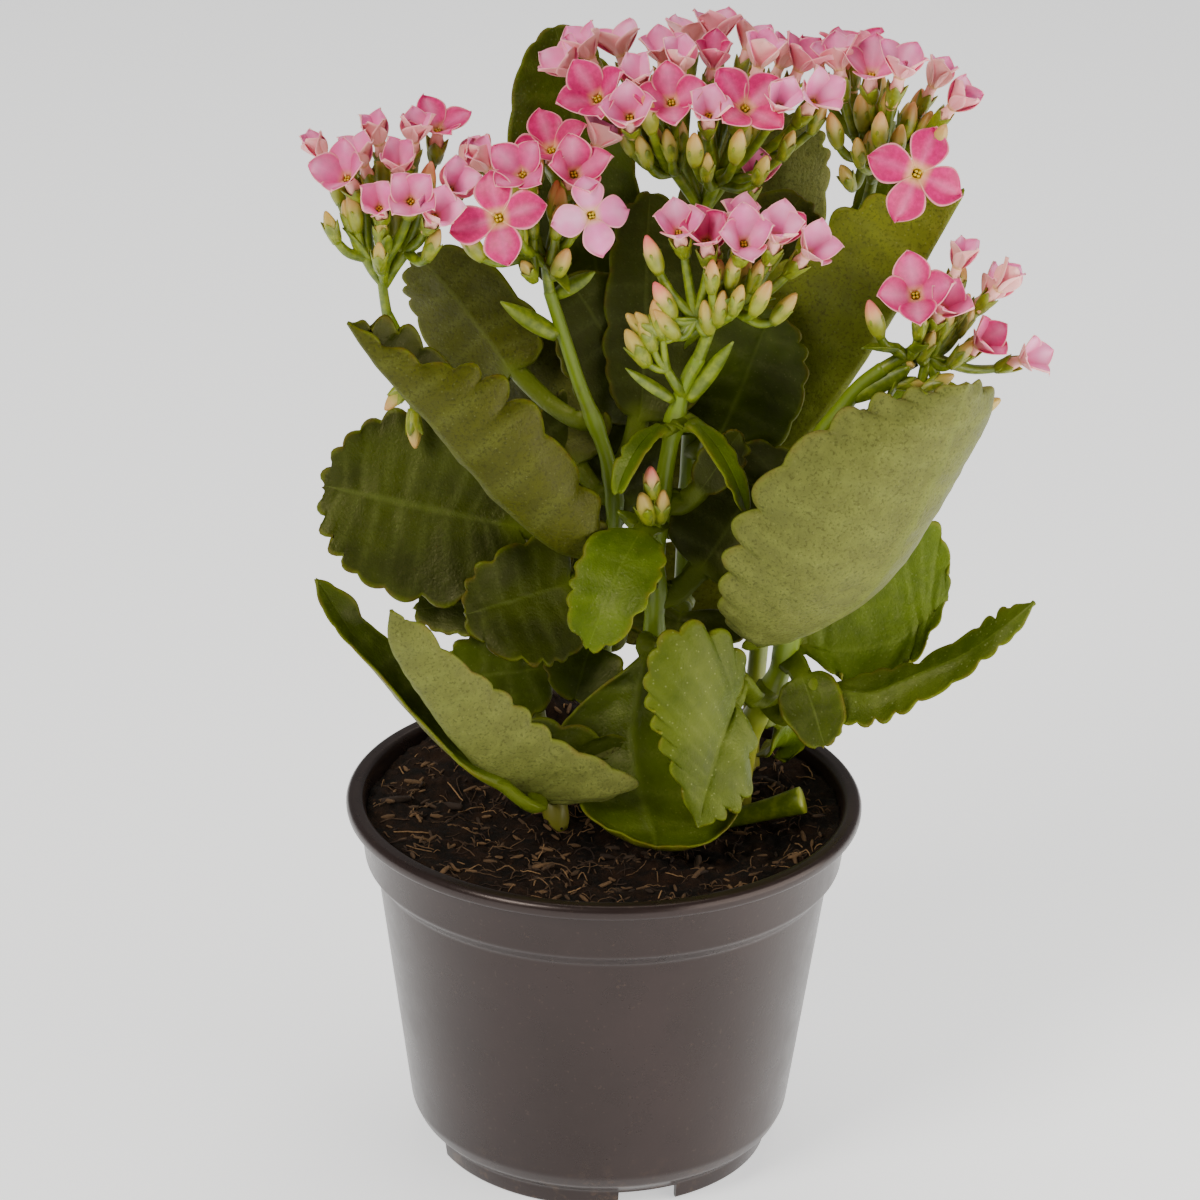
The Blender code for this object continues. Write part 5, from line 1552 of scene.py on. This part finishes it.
def make_sprigs():
    """Small side stalks with green buds, and the narrow bracts of the stalks."""
    draw = random.Random(11)
    shape = Shape("tip", "pale", "ripe")
    for root, tips in SPRIGS:
        start = at(root)
        feet = []
        for tip, ripe in tips:
            look = unit(unit(at(tip) - start) + vec(0, 0, 0.3))
            size = draw.uniform(0.78, 0.9)
            foot = bud(shape, at(tip), look, size, ripe)
            calyx(shape, foot, look, size, draw.uniform(0, 1.5), pale=0.1)
            feet.append(foot)
        fork = start * 0.45 + np.mean(feet, axis=0) * 0.55
        branch(shape, start, (start + fork) / 2 + vec(0, -0.001, 0), fork, 0.0013, 0.0010)
        for foot in feet:
            branch(shape, fork, (fork + foot) / 2 - vec(0, 0, 0.0006), foot, 0.0010, 0.0008)
    for root, tip, half in BRACTS:
        span = at(tip) - at(root)
        lance(
            shape, at(root), span, vec(0.1, -0.8, 0.5), float(np.linalg.norm(span)), half * MM,
            -0.0016, 0.16, 14,
        )
    piece("side_sprigs", shape.mesh("sprigs"), FRESH_SKIN, "calyx_green")


make_stub()
make_sprigs()


# ------------------------------------------------------- floor, light, camera
FLOOR_COLOUR = (0.88, 0.91, 0.95)
FLOOR_GLOW = 0.8
FLOOR_REACH = 3
FLOOR_LEVEL = -0.0002


def make_stage():
    """A plain pale floor, slightly bright by itself so that it stays pale."""
    g = Graph("floor")
    g.set(Base_Color=FLOOR_COLOUR, Roughness=0.9)
    g.set(Emission_Color=(1.0, 1.0, 1.0), Emission_Strength=FLOOR_GLOW)
    mesh = bpy.data.meshes.new("floor")
    corners = [(-1, -1), (1, -1), (1, 1), (-1, 1)]
    points = [(x * FLOOR_REACH, y * FLOOR_REACH, FLOOR_LEVEL) for x, y in corners]
    mesh.from_pydata(points, [], [(0, 1, 2, 3)])
    mesh.materials.append(g.material)
    floor = bpy.data.objects.new("floor", mesh)
    bpy.context.scene.collection.objects.link(floor)


def area(name, place, target, size, power):
    """A warm rectangular lamp at a place, facing its target."""
    data = bpy.data.lights.new(name, "AREA")
    data.shape = "RECTANGLE"
    data.size, data.size_y = size
    data.energy = power
    data.color = WARM
    lamp = bpy.data.objects.new(name, data)
    lamp.location = place
    lamp.rotation_euler = (Vector(target) - Vector(place)).to_track_quat("-Z", "Y").to_euler()
    bpy.context.scene.collection.objects.link(lamp)


WARM = (1.0, 0.945, 0.86)
WORLD_STRENGTH = 0.22

# Lamps: place, target, size (metres) and power (watts).
LAMPS = {
    "key": ((-0.75, -0.80, 1.0), (0, 0, 0.15), (0.5, 0.5), 14.0),
    "panel": ((0.40, -0.16, 0.17), (0, 0.06, 0.17), (0.56, 0.32), 2.2),
    "top": ((0.1, 0.5, 1.3), (0, 0, 0.1), (0.9, 0.9), 8.0),
}


def make_lights():
    """A dim white sky and the three lamps."""
    world = bpy.data.worlds.new("studio")
    bpy.context.scene.world = world
    world.use_nodes = True
    back = world.node_tree.nodes["Background"]
    back.inputs["Color"].default_value = (1.0, 1.0, 1.0, 1.0)
    back.inputs["Strength"].default_value = WORLD_STRENGTH
    for name, lamp in LAMPS.items():
        area(name, *lamp)


# The photo's camera: angles in degrees, lengths in metres, lens in millimetres.
CAMERA_ELEVATION = 22.77
CAMERA_ROLL = 0.97
CAMERA_DISTANCE = 0.941
CAMERA_AIM = (-0.0017, 0.0, 0.1357)
CAMERA_LENS = 123.75
SENSOR_WIDTH = 36.0


def make_camera():
    """The photo's view: from the front, a little above and slightly rolled."""
    elevation = math.radians(CAMERA_ELEVATION)
    roll = math.radians(CAMERA_ROLL)
    back = Vector((0.0, -math.cos(elevation), math.sin(elevation)))
    place = Vector(CAMERA_AIM) + back * CAMERA_DISTANCE
    right = Vector((1.0, 0.0, 0.0))
    up = back.cross(right)
    side = right * math.cos(roll) + up * math.sin(roll)
    head = -right * math.sin(roll) + up * math.cos(roll)
    data = bpy.data.cameras.new("camera")
    data.sensor_width = SENSOR_WIDTH
    data.lens = CAMERA_LENS
    camera = bpy.data.objects.new("camera", data)
    turn = Matrix((side, head, back)).transposed().to_4x4()
    camera.matrix_world = Matrix.Translation(place) @ turn
    bpy.context.scene.collection.objects.link(camera)
    bpy.context.scene.camera = camera


make_stage()
make_lights()
make_camera()
